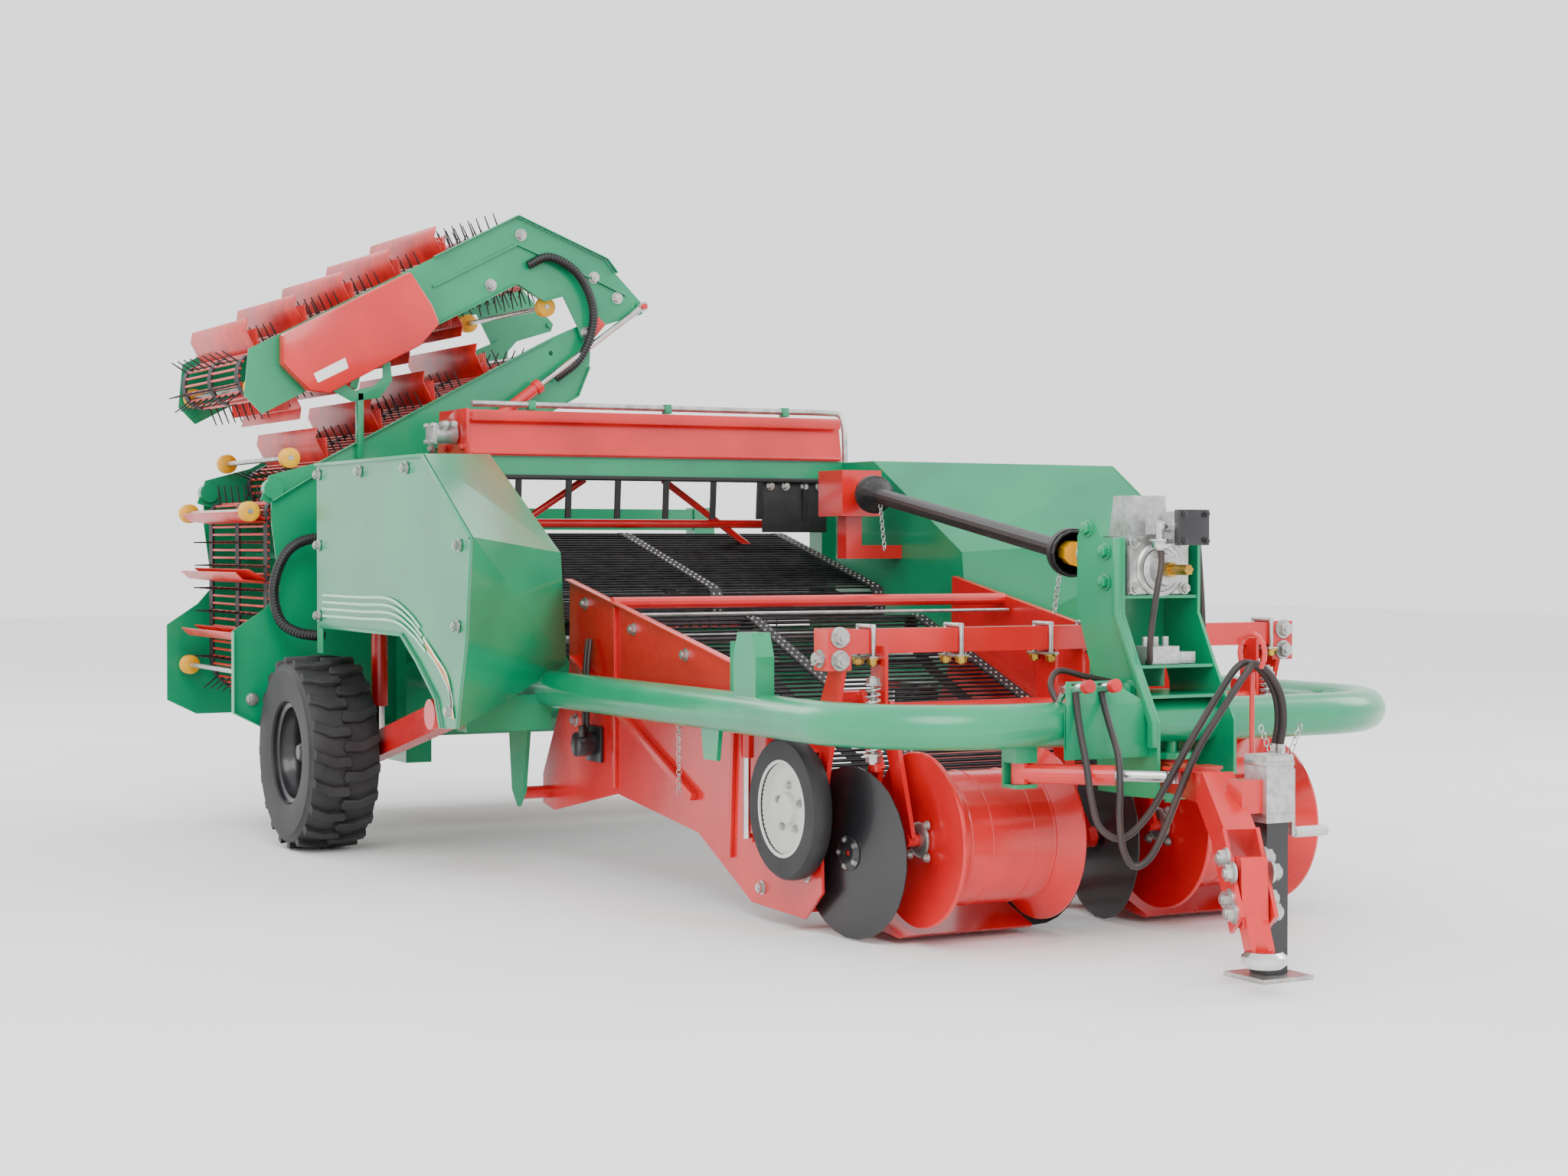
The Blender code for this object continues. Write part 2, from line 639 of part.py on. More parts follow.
def make_steering_cylinder():
    along = (STEER_END - STEER_BASE).normalized()
    reach = (STEER_END - STEER_BASE).length
    barrel_joint = joint_at("steering_barrel_axis", STEER_BASE)
    barrel = [sleeve(STEER_BASE + along * 0.028, STEER_BASE + along * 0.300, 0.032, 0.0185, 16)]
    barrel.append(rod(STEER_BASE + Vector((0, 0, -0.033)), STEER_BASE + Vector((0, 0, 0.033)), 0.030, 16))
    barrel.append(rod(STEER_BASE, STEER_BASE + along * 0.040, 0.031, 16))
    node("steering_barrel", barrel, red_paint(), barrel_joint)
    rod_joint = joint_at("steering_rod_axis", STEER_END)
    stem = [rod(STEER_BASE + along * 0.045, STEER_BASE + along * (reach - 0.01), 0.0175, 12)]
    stem.append(rod(STEER_END + Vector((0, 0, -0.018)), STEER_END + Vector((0, 0, 0.018)), 0.028, 16))
    node("steering_rod", stem, bare_steel(), rod_joint)


# ---- wheels ----------------------------------------------------------------------------------------

def make_wheel_set(side):
    word = "left" if side < 0 else "right"
    axis_joint = joint_at("axle_axis_" + word, (side * WHEEL_X, 0, WHEEL_Z))
    half = WHEEL_W / 2
    rubber = [
        (0.215, -half + 0.012), (0.350, -half), (WHEEL_R, -half + 0.040),
        (WHEEL_R, half - 0.040), (0.350, half), (0.215, half - 0.012),
    ]
    tyre = turned(rubber, (side * WHEEL_X, 0, WHEEL_Z), (1, 0, 0), WHEEL_SIDES, closed=True)
    node("tyre_" + word, [tyre], black_rubber(), axis_joint)
    edge = 0.2135
    well = [
        (edge, -half + 0.016), (edge, half - 0.016), (0.198, half - 0.016), (0.195, 0.040), (0.046, 0.040),
        (0.046, -0.030), (0.120, 0.010), (0.198, -half + 0.016),
    ]
    rim = turned(well, (side * WHEEL_X, 0, WHEEL_Z), (side, 0, 0), 24, closed=True)
    node("rim_" + word, [rim], black_steel(), axis_joint)
    arm_joint = joint_at("wheel_arm_axis_" + word, (side * 1.47, ARM_PIVOT_Y, ARM_PIVOT_Z))
    arm = [bar((side * 1.470, ARM_PIVOT_Y, ARM_PIVOT_Z), (side * 1.350, 0.0, WHEEL_Z), 0.070, 0.110)]
    arm.append(rod((side * 1.4155, ARM_PIVOT_Y, ARM_PIVOT_Z), (side * 1.545, ARM_PIVOT_Y, ARM_PIVOT_Z),
                   0.060, 16))
    arm.append(rod((side * 1.360, 0, WHEEL_Z), (side * 1.640, 0, WHEEL_Z), 0.0455, 16))
    arm.append(block(*sorted((side * 1.250, side * 1.380)), -0.01, 0.09, 0.400, 0.470))
    node("wheel_arm_" + word, arm, red_paint(), arm_joint)
    x = side * 1.300
    barrel = [sleeve((x, 0.04, 0.600), (x, 0.04, 0.900), 0.036, 0.0225, 16)]
    barrel.append(rod((x, 0.04, 0.890), (x, 0.04, 0.9845), 0.034, 16))
    node("level_barrel_" + word, barrel, red_paint())
    rod_joint = joint_at("level_rod_axis_" + word, (x, 0.04, 0.480))
    node("level_rod_" + word, [rod((x, 0.04, 0.4710), (x, 0.04, 0.760), 0.022, 14)], bare_steel(), rod_joint)


# ---- intake ----------------------------------------------------------------------------------------

def make_intake_frame(joint):
    solids = []
    for side in (-1, 1):
        x = sorted((side * INTAKE_X, side * (INTAKE_X + 0.010)))
        plate = [
            (-0.98, 0.22), (-0.86, 0.24), (-0.86, 0.36), (-1.13, 0.80), (-1.14, 1.165), (-2.60, 0.890),
            (-3.20, 0.620), (-3.22, 0.150), (-3.10, 0.050), (-2.72, 0.060), (-2.30, 0.26), (-1.60, 0.34),
        ]
        solids.append(prism(plate, "X", *x))
        solids.append(rod((side * INTAKE_X, INTAKE_PIVOT_Y, INTAKE_PIVOT_Z),
                          (side * 1.031, INTAKE_PIVOT_Y, INTAKE_PIVOT_Z), 0.026, 14))
        post = [(-3.345, 0.890), (-3.255, 0.890), (-3.10, 0.600), (-3.10, 0.360), (-3.19, 0.360),
                (-3.25, 0.58)]
        solids.append(prism(post, "X", *sorted((side * (INTAKE_X - 0.012), side * (INTAKE_X + 0.005)))))
    wide = INTAKE_X + 0.005
    solids.append(rod((-wide, -1.540, 1.075), (wide, -1.540, 1.075), 0.024, 12))
    solids.append(rod((-wide, -2.300, 0.330), (wide, -2.300, 0.330), 0.030, 12))
    share = [(-3.46, 0.030), (-3.135, 0.145), (-3.125, 0.115), (-3.06, 0.090), (-2.95, 0.090),
             (-2.95, 0.055),
             (-3.10, 0.060), (-3.44, 0.020)]
    for side in (-1, 1):
        solids.append(prism(share, "X", *sorted((side * 0.235, side * 0.750))))
    solids.append(block(-wide, wide, -3.010, -2.945, 0.056, 0.089))
    solids.append(rod((-INTAKE_X - 0.005, LIFT_LOW.y, LIFT_LOW.z), (-0.9415, LIFT_LOW.y, LIFT_LOW.z),
                      0.016, 12))
    return node("intake_frame", solids, red_paint(), joint)


def make_toolbar(joint):
    half = TOOLBAR_SIDE / 2
    solids = [block(-TOOLBAR_HALF, TOOLBAR_HALF, TOOLBAR_Y - half, TOOLBAR_Y + half,
                    TOOLBAR_Z - half, TOOLBAR_Z + half)]
    for side in (-1, 1):
        x = sorted((side * TOOLBAR_HALF, side * (TOOLBAR_HALF - 0.090)))
        solids.append(block(*x, TOOLBAR_Y - 0.045, TOOLBAR_Y + 0.045, 0.8905, TOOLBAR_Z + 0.043))
        solids.append(block(*sorted((side * 0.0505, side * 0.0625)), -3.335, -3.220, 0.775, 0.950))
        solids.append(block(*sorted((side * 0.7585, side * 0.770)), -3.392, -3.300, 0.730, 0.970))
    return node("toolbar", solids, red_paint(), joint)


def make_intake_web(joint):
    run = [(-2.985, 0.245), (-2.20, 0.545), (-0.98, 1.005), (-0.92, 1.000)]
    low = [(-0.90, 0.86), (-1.10, 0.75), (-2.05, 0.375), (-2.75, 0.125), (-2.94, 0.150)]
    tie_bore = rod((-1, -2.300, 0.330), (1, -2.300, 0.330), 0.034, 12)
    reach = INTAKE_X - GAP
    solids = [prism(run + low, "X", -WEB_HALF, WEB_HALF)]
    solids.append(rod((-reach, -1.140, 0.840), (reach, -1.140, 0.840), 0.028, 12))
    return node("intake_web", solids, black_rubber(), joint, cuts=(tie_bore,))


def make_lift_cylinder():
    """The cylinder that lifts the intake, hung from a lug on the left leg of the frame."""
    along = (LIFT_LOW - LIFT_TOP).normalized()
    reach = (LIFT_LOW - LIFT_TOP).length
    barrel_joint = joint_at("lift_barrel_axis", LIFT_TOP)
    barrel = [sleeve(LIFT_TOP + along * 0.030, LIFT_TOP + along * 0.360, 0.024, 0.0135, 14)]
    barrel.append(rod(LIFT_TOP, LIFT_TOP + along * 0.040, 0.022, 14))
    barrel.append(rod(LIFT_TOP - Vector((0.0325, 0, 0)), LIFT_TOP, 0.012, 12))
    node("lift_barrel_left", barrel, red_paint(), barrel_joint)
    rod_joint = joint_at("lift_rod_axis", LIFT_LOW)
    stem = rod(LIFT_TOP + along * 0.280, LIFT_TOP + along * reach, 0.013, 10)
    node("lift_rod_left", [stem], bare_steel(), rod_joint)


def make_rollers():
    """The two ridge rollers on their shared swinging frame."""
    y, z = ROLLER_PIVOT
    arm_joint = joint_at("roller_arm_axis", (0, y, z))
    solids = [rod((-0.758, y, z), (0.758, y, z), 0.024, 12)]
    for x in (-0.745, -0.215, 0.215, 0.745):
        solids.append(bar((x, y, z + 0.02), (x, ROLLER_Y, ROLLER_Z), 0.016, 0.070))
    for side in (-1, 1):
        solids.append(rod((side * 0.204, ROLLER_Y, ROLLER_Z), (side * 0.756, ROLLER_Y, ROLLER_Z), 0.020, 14))
    node("roller_frame", solids, red_paint(), arm_joint)
    for side in (-1, 1):
        word = "left" if side < 0 else "right"
        joint = joint_at("roller_axis_" + word, (side * ROLLER_X, ROLLER_Y, ROLLER_Z))
        w = ROLLER_HALF
        profile = [
            (0.0205, -w + 0.010), (0.110, -w + 0.030), (ROLLER_R, -w), (ROLLER_R, -w + 0.012),
            (0.218, -w + 0.075), (0.218, w - 0.075), (ROLLER_R, w - 0.012), (ROLLER_R, w),
            (0.110, w - 0.030),
            (0.0205, w - 0.010),
        ]
        drum = turned(profile, (side * ROLLER_X, ROLLER_Y, ROLLER_Z), (1, 0, 0), 24, closed=True)
        node("ridge_roller_" + word, [drum], red_paint(), joint)


def disc_axis(side):
    """Axle direction of a disc whose rear edge is yawed away from the row."""
    return Vector((math.cos(DISC_YAW) * side, -math.sin(DISC_YAW), 0.0))


def make_disc(name, x, side):
    axis = disc_axis(side)
    centre = Vector((x, DISC_Y, DISC_Z))
    joint = joint_at(name + "_axis", centre)
    dish = [
        (0.0125, -0.012), (0.060, -0.012), (DISC_R, -0.002), (DISC_R, 0.002), (0.055, 0.014),
        (0.0125, 0.014),
    ]
    return node(name, [turned(dish, centre, axis, 28, closed=True)], black_steel(), joint)


def disc_stub(x, side):
    """Stub axle on which a disc turns, with the foot of its arm behind the disc."""
    axis = disc_axis(side)
    hub = Vector((x, DISC_Y, DISC_Z))
    foot = hub - axis * 0.046
    return [rod(foot, hub + axis * 0.014, 0.0120, 12),
            rod(foot - axis * 0.010, foot + axis * 0.020, 0.036, 12)], foot


def make_outer_disc_arm(side):
    """A sprung arm that hangs under the toolbar and carries an outer disc."""
    word = "left" if side < 0 else "right"
    y, z = DISC_PIVOT
    joint = joint_at("disc_arm_axis_" + word, (side * 0.800, y, z))
    solids, foot = disc_stub(side * OUTER_DISC_X, side)
    elbow = Vector((side * 0.785, -3.375, 0.560))
    solids.append(bar((side * 0.785, y, z + 0.010), elbow, 0.020, 0.060))
    solids.append(bar(elbow + Vector((0, 0.01, 0.03)), foot, 0.022, 0.055))
    solids.append(rod((side * 0.774, y, z), (side * 0.8875, y, z), 0.022, 12))
    return node("disc_arm_" + word, solids, red_paint(), joint)


def make_inner_disc_arm():
    """The two discs between the rows share one arm on the centre line."""
    y, z = DISC_PIVOT
    joint = joint_at("disc_arm_axis_centre", (0, y, z))
    solids = [bar((0, y, z + 0.010), (0, -3.330, 0.420), 0.040, 0.060)]
    solids.append(rod((-0.050, y, z), (0.050, y, z), 0.022, 12))
    for side in (-1, 1):
        stub, foot = disc_stub(side * INNER_DISC_X, side)
        solids += stub
        solids.append(bar((0, -3.328, 0.440), foot, 0.022, 0.050))
    return node("disc_arm_centre", solids, red_paint(), joint)


def make_haulm_wheel(side):
    word = "left" if side < 0 else "right"
    joint = joint_at("haulm_wheel_axis_" + word, (side * HAULM_X, HAULM_Y, HAULM_Z))
    profile = [
        (0.0, -0.0385), (0.035, -0.0385), (0.045, -0.015), (0.155, -0.015), (0.165, -0.034), (0.225, -0.034),
        (HAULM_R, -0.012), (HAULM_R, 0.012), (0.225, 0.034), (0.0, 0.034),
    ]
    wheel = turned(profile, (side * HAULM_X, HAULM_Y, HAULM_Z), (side, 0, 0), 20)
    return node("haulm_wheel_" + word, [wheel], black_rubber(), joint)


# ---- elevator --------------------------------------------------------------------------------------

def plate_pair(outline, near, far):
    return [prism(outline, "Y", near, near + PLATE_T), prism(outline, "Y", far - PLATE_T, far)]


def cross_tubes(places, near, far, radius=0.020):
    return [rod((x, near + 0.002, z), (x, far - 0.002, z), radius, 10) for x, z in places]


def make_lower_frame():
    outline = [
        (-1.84, 0.56), (-1.70, 0.49), (-1.12, 0.49), (-1.12, 0.4255), (-1.00, 0.4255), (-1.00, 0.49),
        (1.00, 0.49), (1.00, 0.4255), (1.08, 0.4255), (1.08, 0.90), (-1.15, 0.90), (-1.15, 1.62),
        (-1.46, 1.62),
        (-1.66, 1.50), (-1.66, 1.40), (-1.62, 1.10), (-1.69, 1.02), (-1.84, 0.92),
    ]
    solids = plate_pair(outline, NEAR_Y, FAR_Y)
    solids += cross_tubes([(-1.44, 1.25)], NEAR_Y, FAR_Y)
    solids += cross_tubes([(-1.40, 0.74), (0.86, 0.74)], NEAR_Y, FAR_Y, 0.104)
    return node("elevator_lower_frame", solids, green_paint())


def belt_loop(outline, thickness_outline, flights):
    """A flighted belt as a closed band with its flights standing out of it."""
    ring = prism(outline, "Y", BELT_Y0, BELT_Y1)
    hollow = prism(thickness_outline, "Y", BELT_Y0 - 0.05, BELT_Y1 + 0.05)
    solids = [ring]
    for (x, z), (nx, nz) in flights:
        way = Vector((nx, 0, nz)).normalized()
        root = Vector((x, (BELT_Y0 + BELT_Y1) / 2, z)) - way * 0.008
        tip = root + way * FLIGHT_H
        across = Vector((way.z, 0, -way.x)) * 0.006
        corners = [root - across, root + across, tip + across, tip - across]
        solids.append(prism([(c.x, c.z) for c in corners], "Y", BELT_Y0 + 0.02, BELT_Y1 - 0.02))
    return solids, hollow


def make_lower_belt():
    outside = [(1.02, 0.605), (-1.56, 0.605), (-1.655, 0.70), (-1.655, 1.50), (-1.53, 1.50),
               (-1.23, 1.36), (-1.23, 0.93),
               (-1.17, 0.875), (1.02, 0.875)]
    inside = [(0.99, 0.635), (-1.548, 0.635), (-1.625, 0.712), (-1.625, 1.47), (-1.536, 1.47),
              (-1.26, 1.342), (-1.26, 0.918),
              (-1.182, 0.845), (0.99, 0.845)]
    flights = [((-1.655, 0.86 + 0.27 * k), (-1, 0.12)) for k in range(3)]
    flights += [((-1.00 + 0.45 * k, 0.875), (0, 1)) for k in range(5)]
    solids, hollow = belt_loop(outside, inside, flights)
    return node("elevator_lower_belt", solids, red_paint(), cuts=(hollow,))


def along_arm(origin, angle, u, v):
    """A point u along and v across an arm that rises at the angle."""
    c, s = math.cos(math.radians(angle)), math.sin(math.radians(angle))
    return (origin[0] + u * c - v * s, origin[1] + u * s + v * c)


def make_inner_arm(joint):
    outline = [
        (-1.70, 1.50), (-1.60, 1.47), (-1.34, 1.36), (-0.17, 2.00), (-0.11, 2.14), (-0.10, 2.30),
        (-0.14, 2.345),
        (-0.31, 2.27), (-1.44, 1.67), (-1.66, 1.61),
    ]
    near = NEAR_Y + 0.030
    far = FAR_Y - 0.030
    solids = plate_pair(outline, near, far)
    solids += cross_tubes([along_arm(BELT_FOOT, 28, 0.62, 0.0)], near, far, 0.0795)
    for y in (near, far):
        way = 1 if y == near else -1
        solids.append(rod((LIFT_PIVOT[0], y - way * 0.0215, LIFT_PIVOT[1]),
                          (LIFT_PIVOT[0], y + way * 0.0300, LIFT_PIVOT[1]), 0.045, 16))
    return node("elevator_inner_arm", solids, green_paint(), joint)


def make_inner_belt(joint):
    outside = [along_arm(BELT_FOOT, 28, u, v) for u, v in
               ((0.0, -0.06), (0.05, -0.11), (1.16, -0.11), (1.21, -0.06), (1.21, 0.06), (1.16, 0.11),
                (0.05, 0.11), (0.0, 0.06))]
    inside = [along_arm(BELT_FOOT, 28, u, v) for u, v in
              ((0.03, -0.05), (0.06, -0.08), (1.15, -0.08), (1.18, -0.05), (1.18, 0.05), (1.15, 0.08),
               (0.06, 0.08), (0.03, 0.05))]
    way = math.radians(118)
    flights = []
    for k in range(4):
        flights.append((along_arm(BELT_FOOT, 28, 0.14 + 0.29 * k, 0.11), (math.cos(way), math.sin(way))))
    for k in range(3):
        flights.append((along_arm(BELT_FOOT, 28, 0.42 + 0.29 * k, -0.11), (-math.cos(way), -math.sin(way))))
    solids, hollow = belt_loop(outside, inside, flights)
    return node("elevator_inner_belt", solids, red_paint(), joint, cuts=(hollow,))


def make_outer_arm(joint):
    outline = [
        (-1.76, 2.165), (-0.49, 2.824), (-0.04, 2.648), (0.011, 2.586), (0.160, 2.440), (0.150, 2.400),
        (-0.04, 2.341), (-0.10, 2.275), (-0.165, 2.270), (-0.185, 2.33), (-0.26, 2.470), (-0.36, 2.440),
        (-0.497, 2.514), (-1.70, 1.880), (-1.78, 1.96),
    ]
    near = NEAR_Y
    far = FAR_Y
    cover = [
        (-1.03, 2.53), (-0.93, 2.385), (-0.90, 2.305), (-0.985, 2.21), (-1.415, 1.98), (-1.50, 1.99),
        (-1.62, 2.10), (-1.62, 2.225),
    ]
    solids = plate_pair(outline, near, far)
    solids.append(prism(cover, "Y", near - 0.075, near + 0.004))
    solids += cross_tubes([(-0.95, 2.438)], near, far, 0.0735)
    for y, way in ((near, 1), (far, -1)):
        solids.append(rod((LEVER_TIP[0], y - way * 0.0145, LEVER_TIP[1]),
                          (LEVER_TIP[0], y + way * 0.0200, LEVER_TIP[1]), 0.016, 12))
        solids.append(rod((FOLD_PIVOT[0], y + way * 0.004, FOLD_PIVOT[1]),
                          (FOLD_PIVOT[0], y + way * 0.0295, FOLD_PIVOT[1]), 0.026, 14))
    return node("elevator_outer_arm", solids, green_paint(), joint)


def make_outer_belt(joint):
    outside = [(-1.79, 2.05), (-1.77, 2.13), (-0.50, 2.79), (-0.14, 2.655), (-0.12, 2.60), (-0.30, 2.52),
               (-0.48, 2.56), (-1.68, 1.935), (-1.76, 1.97)]
    inside = [(-1.755, 2.055), (-1.745, 2.110), (-0.498, 2.756), (-0.19, 2.64), (-0.305, 2.552),
              (-0.49, 2.594), (-1.69, 1.970), (-1.735, 1.990)]
    way = math.radians(117.7)
    flights = []
    for k in range(5):
        u = 0.08 + 0.25 * k
        flights.append(((-1.77 + u * 0.887 + 0.002, 2.13 + u * 0.461), (math.cos(way), math.sin(way))))
    for k in range(4):
        u = 0.16 + 0.29 * k
        flights.append(((-1.68 + u * 0.887, 1.935 + u * 0.462), (-math.cos(way), -math.sin(way))))
    solids, hollow = belt_loop(outside, inside, flights)
    return node("elevator_outer_belt", solids, red_paint(), joint, cuts=(hollow,))


def make_fold_cylinder(arm_joint):
    y = NEAR_Y - 0.030
    base = Vector((FOLD_BASE[0], y, FOLD_BASE[1]))
    tip = Vector((LEVER_TIP[0], y, LEVER_TIP[1]))
    along = (tip - base).normalized()
    barrel = [sleeve(base + along * 0.030, base + along * 0.760, 0.028, 0.0155, 16)]
    barrel.append(rod(base - along * 0.020, base + along * 0.050, 0.0265, 14))
    barrel.append(block(base.x - 0.012, base.x + 0.012, base.y - 0.032, base.y + 0.0595, base.z - 0.012,
                        base.z + 0.012))
    node("fold_barrel", barrel, red_paint(), arm_joint)
    rod_joint = joint_at("fold_rod_axis", tip)
    stem = [rod(base + along * 0.700, tip, 0.015, 12)]
    stem.append(rod(tip + Vector((0, -0.015, 0)), tip + Vector((0, 0.015, 0)), 0.024, 14))
    node("fold_rod", stem, bare_steel(), rod_joint)


# ---- hoses to the tractor --------------------------------------------------------------------------

def tractor_hose_route(side):
    """From a coupler on the tower's plate, down in a loop, over the holder's ring and down the far side."""
    ring = HOSE_RING + Vector((0.0, -0.014 * side, -0.030))
    if side < 0:
        loop = [
            (-0.440, -3.996, 0.868), (-0.440, -4.000, 0.820), (-0.441, -4.022, 0.730),
            (-0.445, -4.064, 0.620),
            (-0.448, -4.094, 0.520), (-0.430, -4.116, 0.430), (-0.372, -4.152, 0.398),
            (-0.312, -4.200, 0.470),
            (-0.262, -4.248, 0.590), (-0.205, -4.290, 0.720), (-0.145, -4.328, 0.840),
            (-0.095, -4.354, 0.924),
        ]
    else:
        loop = [
            (-0.340, -3.996, 0.868), (-0.340, -4.002, 0.820), (-0.348, -4.050, 0.740),
            (-0.364, -4.118, 0.650),
            (-0.386, -4.158, 0.560), (-0.400, -4.176, 0.460), (-0.398, -4.192, 0.370),
            (-0.372, -4.212, 0.318),
            (-0.330, -4.236, 0.345), (-0.292, -4.258, 0.430), (-0.252, -4.282, 0.550),
            (-0.205, -4.312, 0.680),
            (-0.140, -4.360, 0.815), (-0.085, -4.384, 0.905),
        ]
    tail = [
        tuple(ring), (ring.x + 0.050, ring.y - 0.010, 0.905), (ring.x + 0.088, ring.y - 0.016, 0.840),
        (ring.x + 0.104, ring.y - 0.010, 0.760), (ring.x + 0.100, ring.y, 0.690),
    ]
    return loop + tail


def main():
    clear_scene()
    machine_origin()
    make_main_frame()
    make_tower()
    make_input_gearbox()
    make_hydraulic_pump()
    make_input_stub()
    make_drive_shaft()
    make_shaft_guard()
    make_transfer_gearbox()
    make_side_cover("side_cover_left", -1)
    make_side_cover("side_cover_right", 1)
    make_rear_chassis()
    make_cross_beam()
    make_hood()
    make_finger_curtain()
    make_upper_web()

    drawbar_joint = joint_at("drawbar_axis", PIVOT)
    make_drawbar(drawbar_joint)
    make_tow_eye(drawbar_joint)
    make_jack(drawbar_joint)
    make_steering_cylinder()
    make_tractor_hose("tractor_hose_left", -1)
    make_tractor_hose("tractor_hose_right", 1)

    for side in (-1, 1):
        make_wheel_set(side)

    intake_joint = joint_at("intake_axis", (0, INTAKE_PIVOT_Y, INTAKE_PIVOT_Z))
    make_intake_frame(intake_joint)
    make_toolbar(intake_joint)
    make_intake_web(intake_joint)
    make_lift_cylinder()
    make_rollers()
    make_disc("disc_outer_left", -OUTER_DISC_X, -1)
    make_disc("disc_outer_right", OUTER_DISC_X, 1)
    make_disc("disc_inner_left", -INNER_DISC_X, -1)
    make_disc("disc_inner_right", INNER_DISC_X, 1)
    for side in (-1, 1):
        make_outer_disc_arm(side)
    make_inner_disc_arm()
    for side in (-1, 1):
        make_haulm_wheel(side)

    make_lower_frame()
    make_lower_belt()
    lift_joint = joint_at("inner_arm_axis", (LIFT_PIVOT[0], 1.0, LIFT_PIVOT[1]))
    make_inner_arm(lift_joint)
    make_inner_belt(lift_joint)
    make_fold_cylinder(lift_joint)
    fold_joint = joint_at("outer_arm_axis", (FOLD_PIVOT[0], 1.0, FOLD_PIVOT[1]))
    make_outer_arm(fold_joint)
    make_outer_belt(fold_joint)


main()
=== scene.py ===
import math

import bpy
from mathutils import Matrix, Vector


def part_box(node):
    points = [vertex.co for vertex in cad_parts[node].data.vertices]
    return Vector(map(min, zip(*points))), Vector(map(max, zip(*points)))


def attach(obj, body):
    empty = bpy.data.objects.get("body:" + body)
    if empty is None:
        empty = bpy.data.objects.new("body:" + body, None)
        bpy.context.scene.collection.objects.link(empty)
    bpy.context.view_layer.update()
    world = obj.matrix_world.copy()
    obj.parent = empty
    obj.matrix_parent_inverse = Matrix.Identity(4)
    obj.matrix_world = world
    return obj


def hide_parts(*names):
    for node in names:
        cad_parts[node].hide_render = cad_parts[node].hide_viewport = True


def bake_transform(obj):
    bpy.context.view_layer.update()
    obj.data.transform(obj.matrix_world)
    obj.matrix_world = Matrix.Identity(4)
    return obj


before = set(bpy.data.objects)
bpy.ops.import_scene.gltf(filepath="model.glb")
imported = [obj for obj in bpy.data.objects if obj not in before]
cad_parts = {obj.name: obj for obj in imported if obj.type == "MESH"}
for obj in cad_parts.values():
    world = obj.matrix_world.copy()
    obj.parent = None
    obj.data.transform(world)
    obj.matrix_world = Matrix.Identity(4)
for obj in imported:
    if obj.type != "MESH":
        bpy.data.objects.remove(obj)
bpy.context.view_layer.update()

# The machine stands on level ground. CENTRE is on the ground, on its centre line and under its axles,
# and every place below is counted from there: +X to the right, +Y to the rear, +Z up.
beam_low, beam_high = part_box("cross_beam")
tyre_low, tyre_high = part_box("tyre_left")
CENTRE = Vector(((beam_low[0] + beam_high[0]) / 2, (tyre_low[1] + tyre_high[1]) / 2, 0.0))


def at(x, y, z):
    return CENTRE + Vector((x, y, z))


eye = at(-4.966, -10.488, 1.300)
bpy.ops.object.camera_add(location=eye, rotation=(math.radians(89.03), 0.0, math.radians(-28.3)))
camera = bpy.context.object
camera.name = "camera"
camera.data.lens = 58.0
camera.data.sensor_width = 36.0
bpy.context.scene.camera = camera


# Two rubber pressure hoses run from the couplers on the tower's plate, hang in loops, pass over the ring
# on the drawbar and end in plugs for the tractor. Their outer layer is black and scuffed to brown.
def linear(code):
    """One sRGB hex colour as the linear values that a shader takes."""
    parts = [int(code[i : i + 2], 16) / 255.0 for i in (1, 3, 5)]
    return tuple(c / 12.92 if c <= 0.04045 else ((c + 0.055) / 1.055) ** 2.4 for c in parts) + (1.0,)


def add_node(tree, kind, settings=None, values=None, links=None):
    made = tree.nodes.new(kind)
    for key, value in (settings or {}).items():
        setattr(made, key, value)
    for key, value in (values or {}).items():
        made.inputs[key].default_value = value
    for key, (source, socket) in (links or {}).items():
        tree.links.new(source.outputs[socket], made.inputs[key])
    return made


def surface(name, light, dark, grain_mm, roughness, metallic=0.0, bump_mm=0.2, coat=0.0, spread=0.08):
    """A finish whose colour and gloss drift a little between two shades, over patches of the grain."""
    material = bpy.data.materials.new(name)
    material.use_nodes = True
    tree = material.node_tree
    shader = tree.nodes["Principled BSDF"]
    shader.inputs["Metallic"].default_value = metallic
    shader.inputs["Coat Weight"].default_value = coat
    shader.inputs["Coat Roughness"].default_value = 0.12
    place = add_node(tree, "ShaderNodeTexCoord")
    patches = add_node(tree, "ShaderNodeTexNoise", None, {"Scale": 1000.0 / grain_mm / 4.0, "Detail": 5.0},
        {"Vector": (place, "Object")})
    tint = add_node(tree, "ShaderNodeValToRGB", None, None, {"Fac": (patches, "Fac")})
    tint.color_ramp.elements[0].position = 0.35
    tint.color_ramp.elements[0].color = linear(dark)
    tint.color_ramp.elements[1].position = 0.65
    tint.color_ramp.elements[1].color = linear(light)
    tree.links.new(tint.outputs["Color"], shader.inputs["Base Color"])
    gloss = add_node(tree, "ShaderNodeMapRange", None,
        {"To Min": roughness - spread / 2, "To Max": roughness + spread / 2}, {"Value": (patches, "Fac")})
    tree.links.new(gloss.outputs["Result"], shader.inputs["Roughness"])
    fine = add_node(tree, "ShaderNodeTexNoise", None, {"Scale": 1000.0 / grain_mm, "Detail": 3.0},
        {"Vector": (place, "Object")})
    relief = add_node(tree, "ShaderNodeBump", None, {"Strength": 0.35, "Distance": bump_mm / 1000.0},
        {"Height": (fine, "Fac")})
    tree.links.new(relief.outputs["Normal"], shader.inputs["Normal"])
    return material


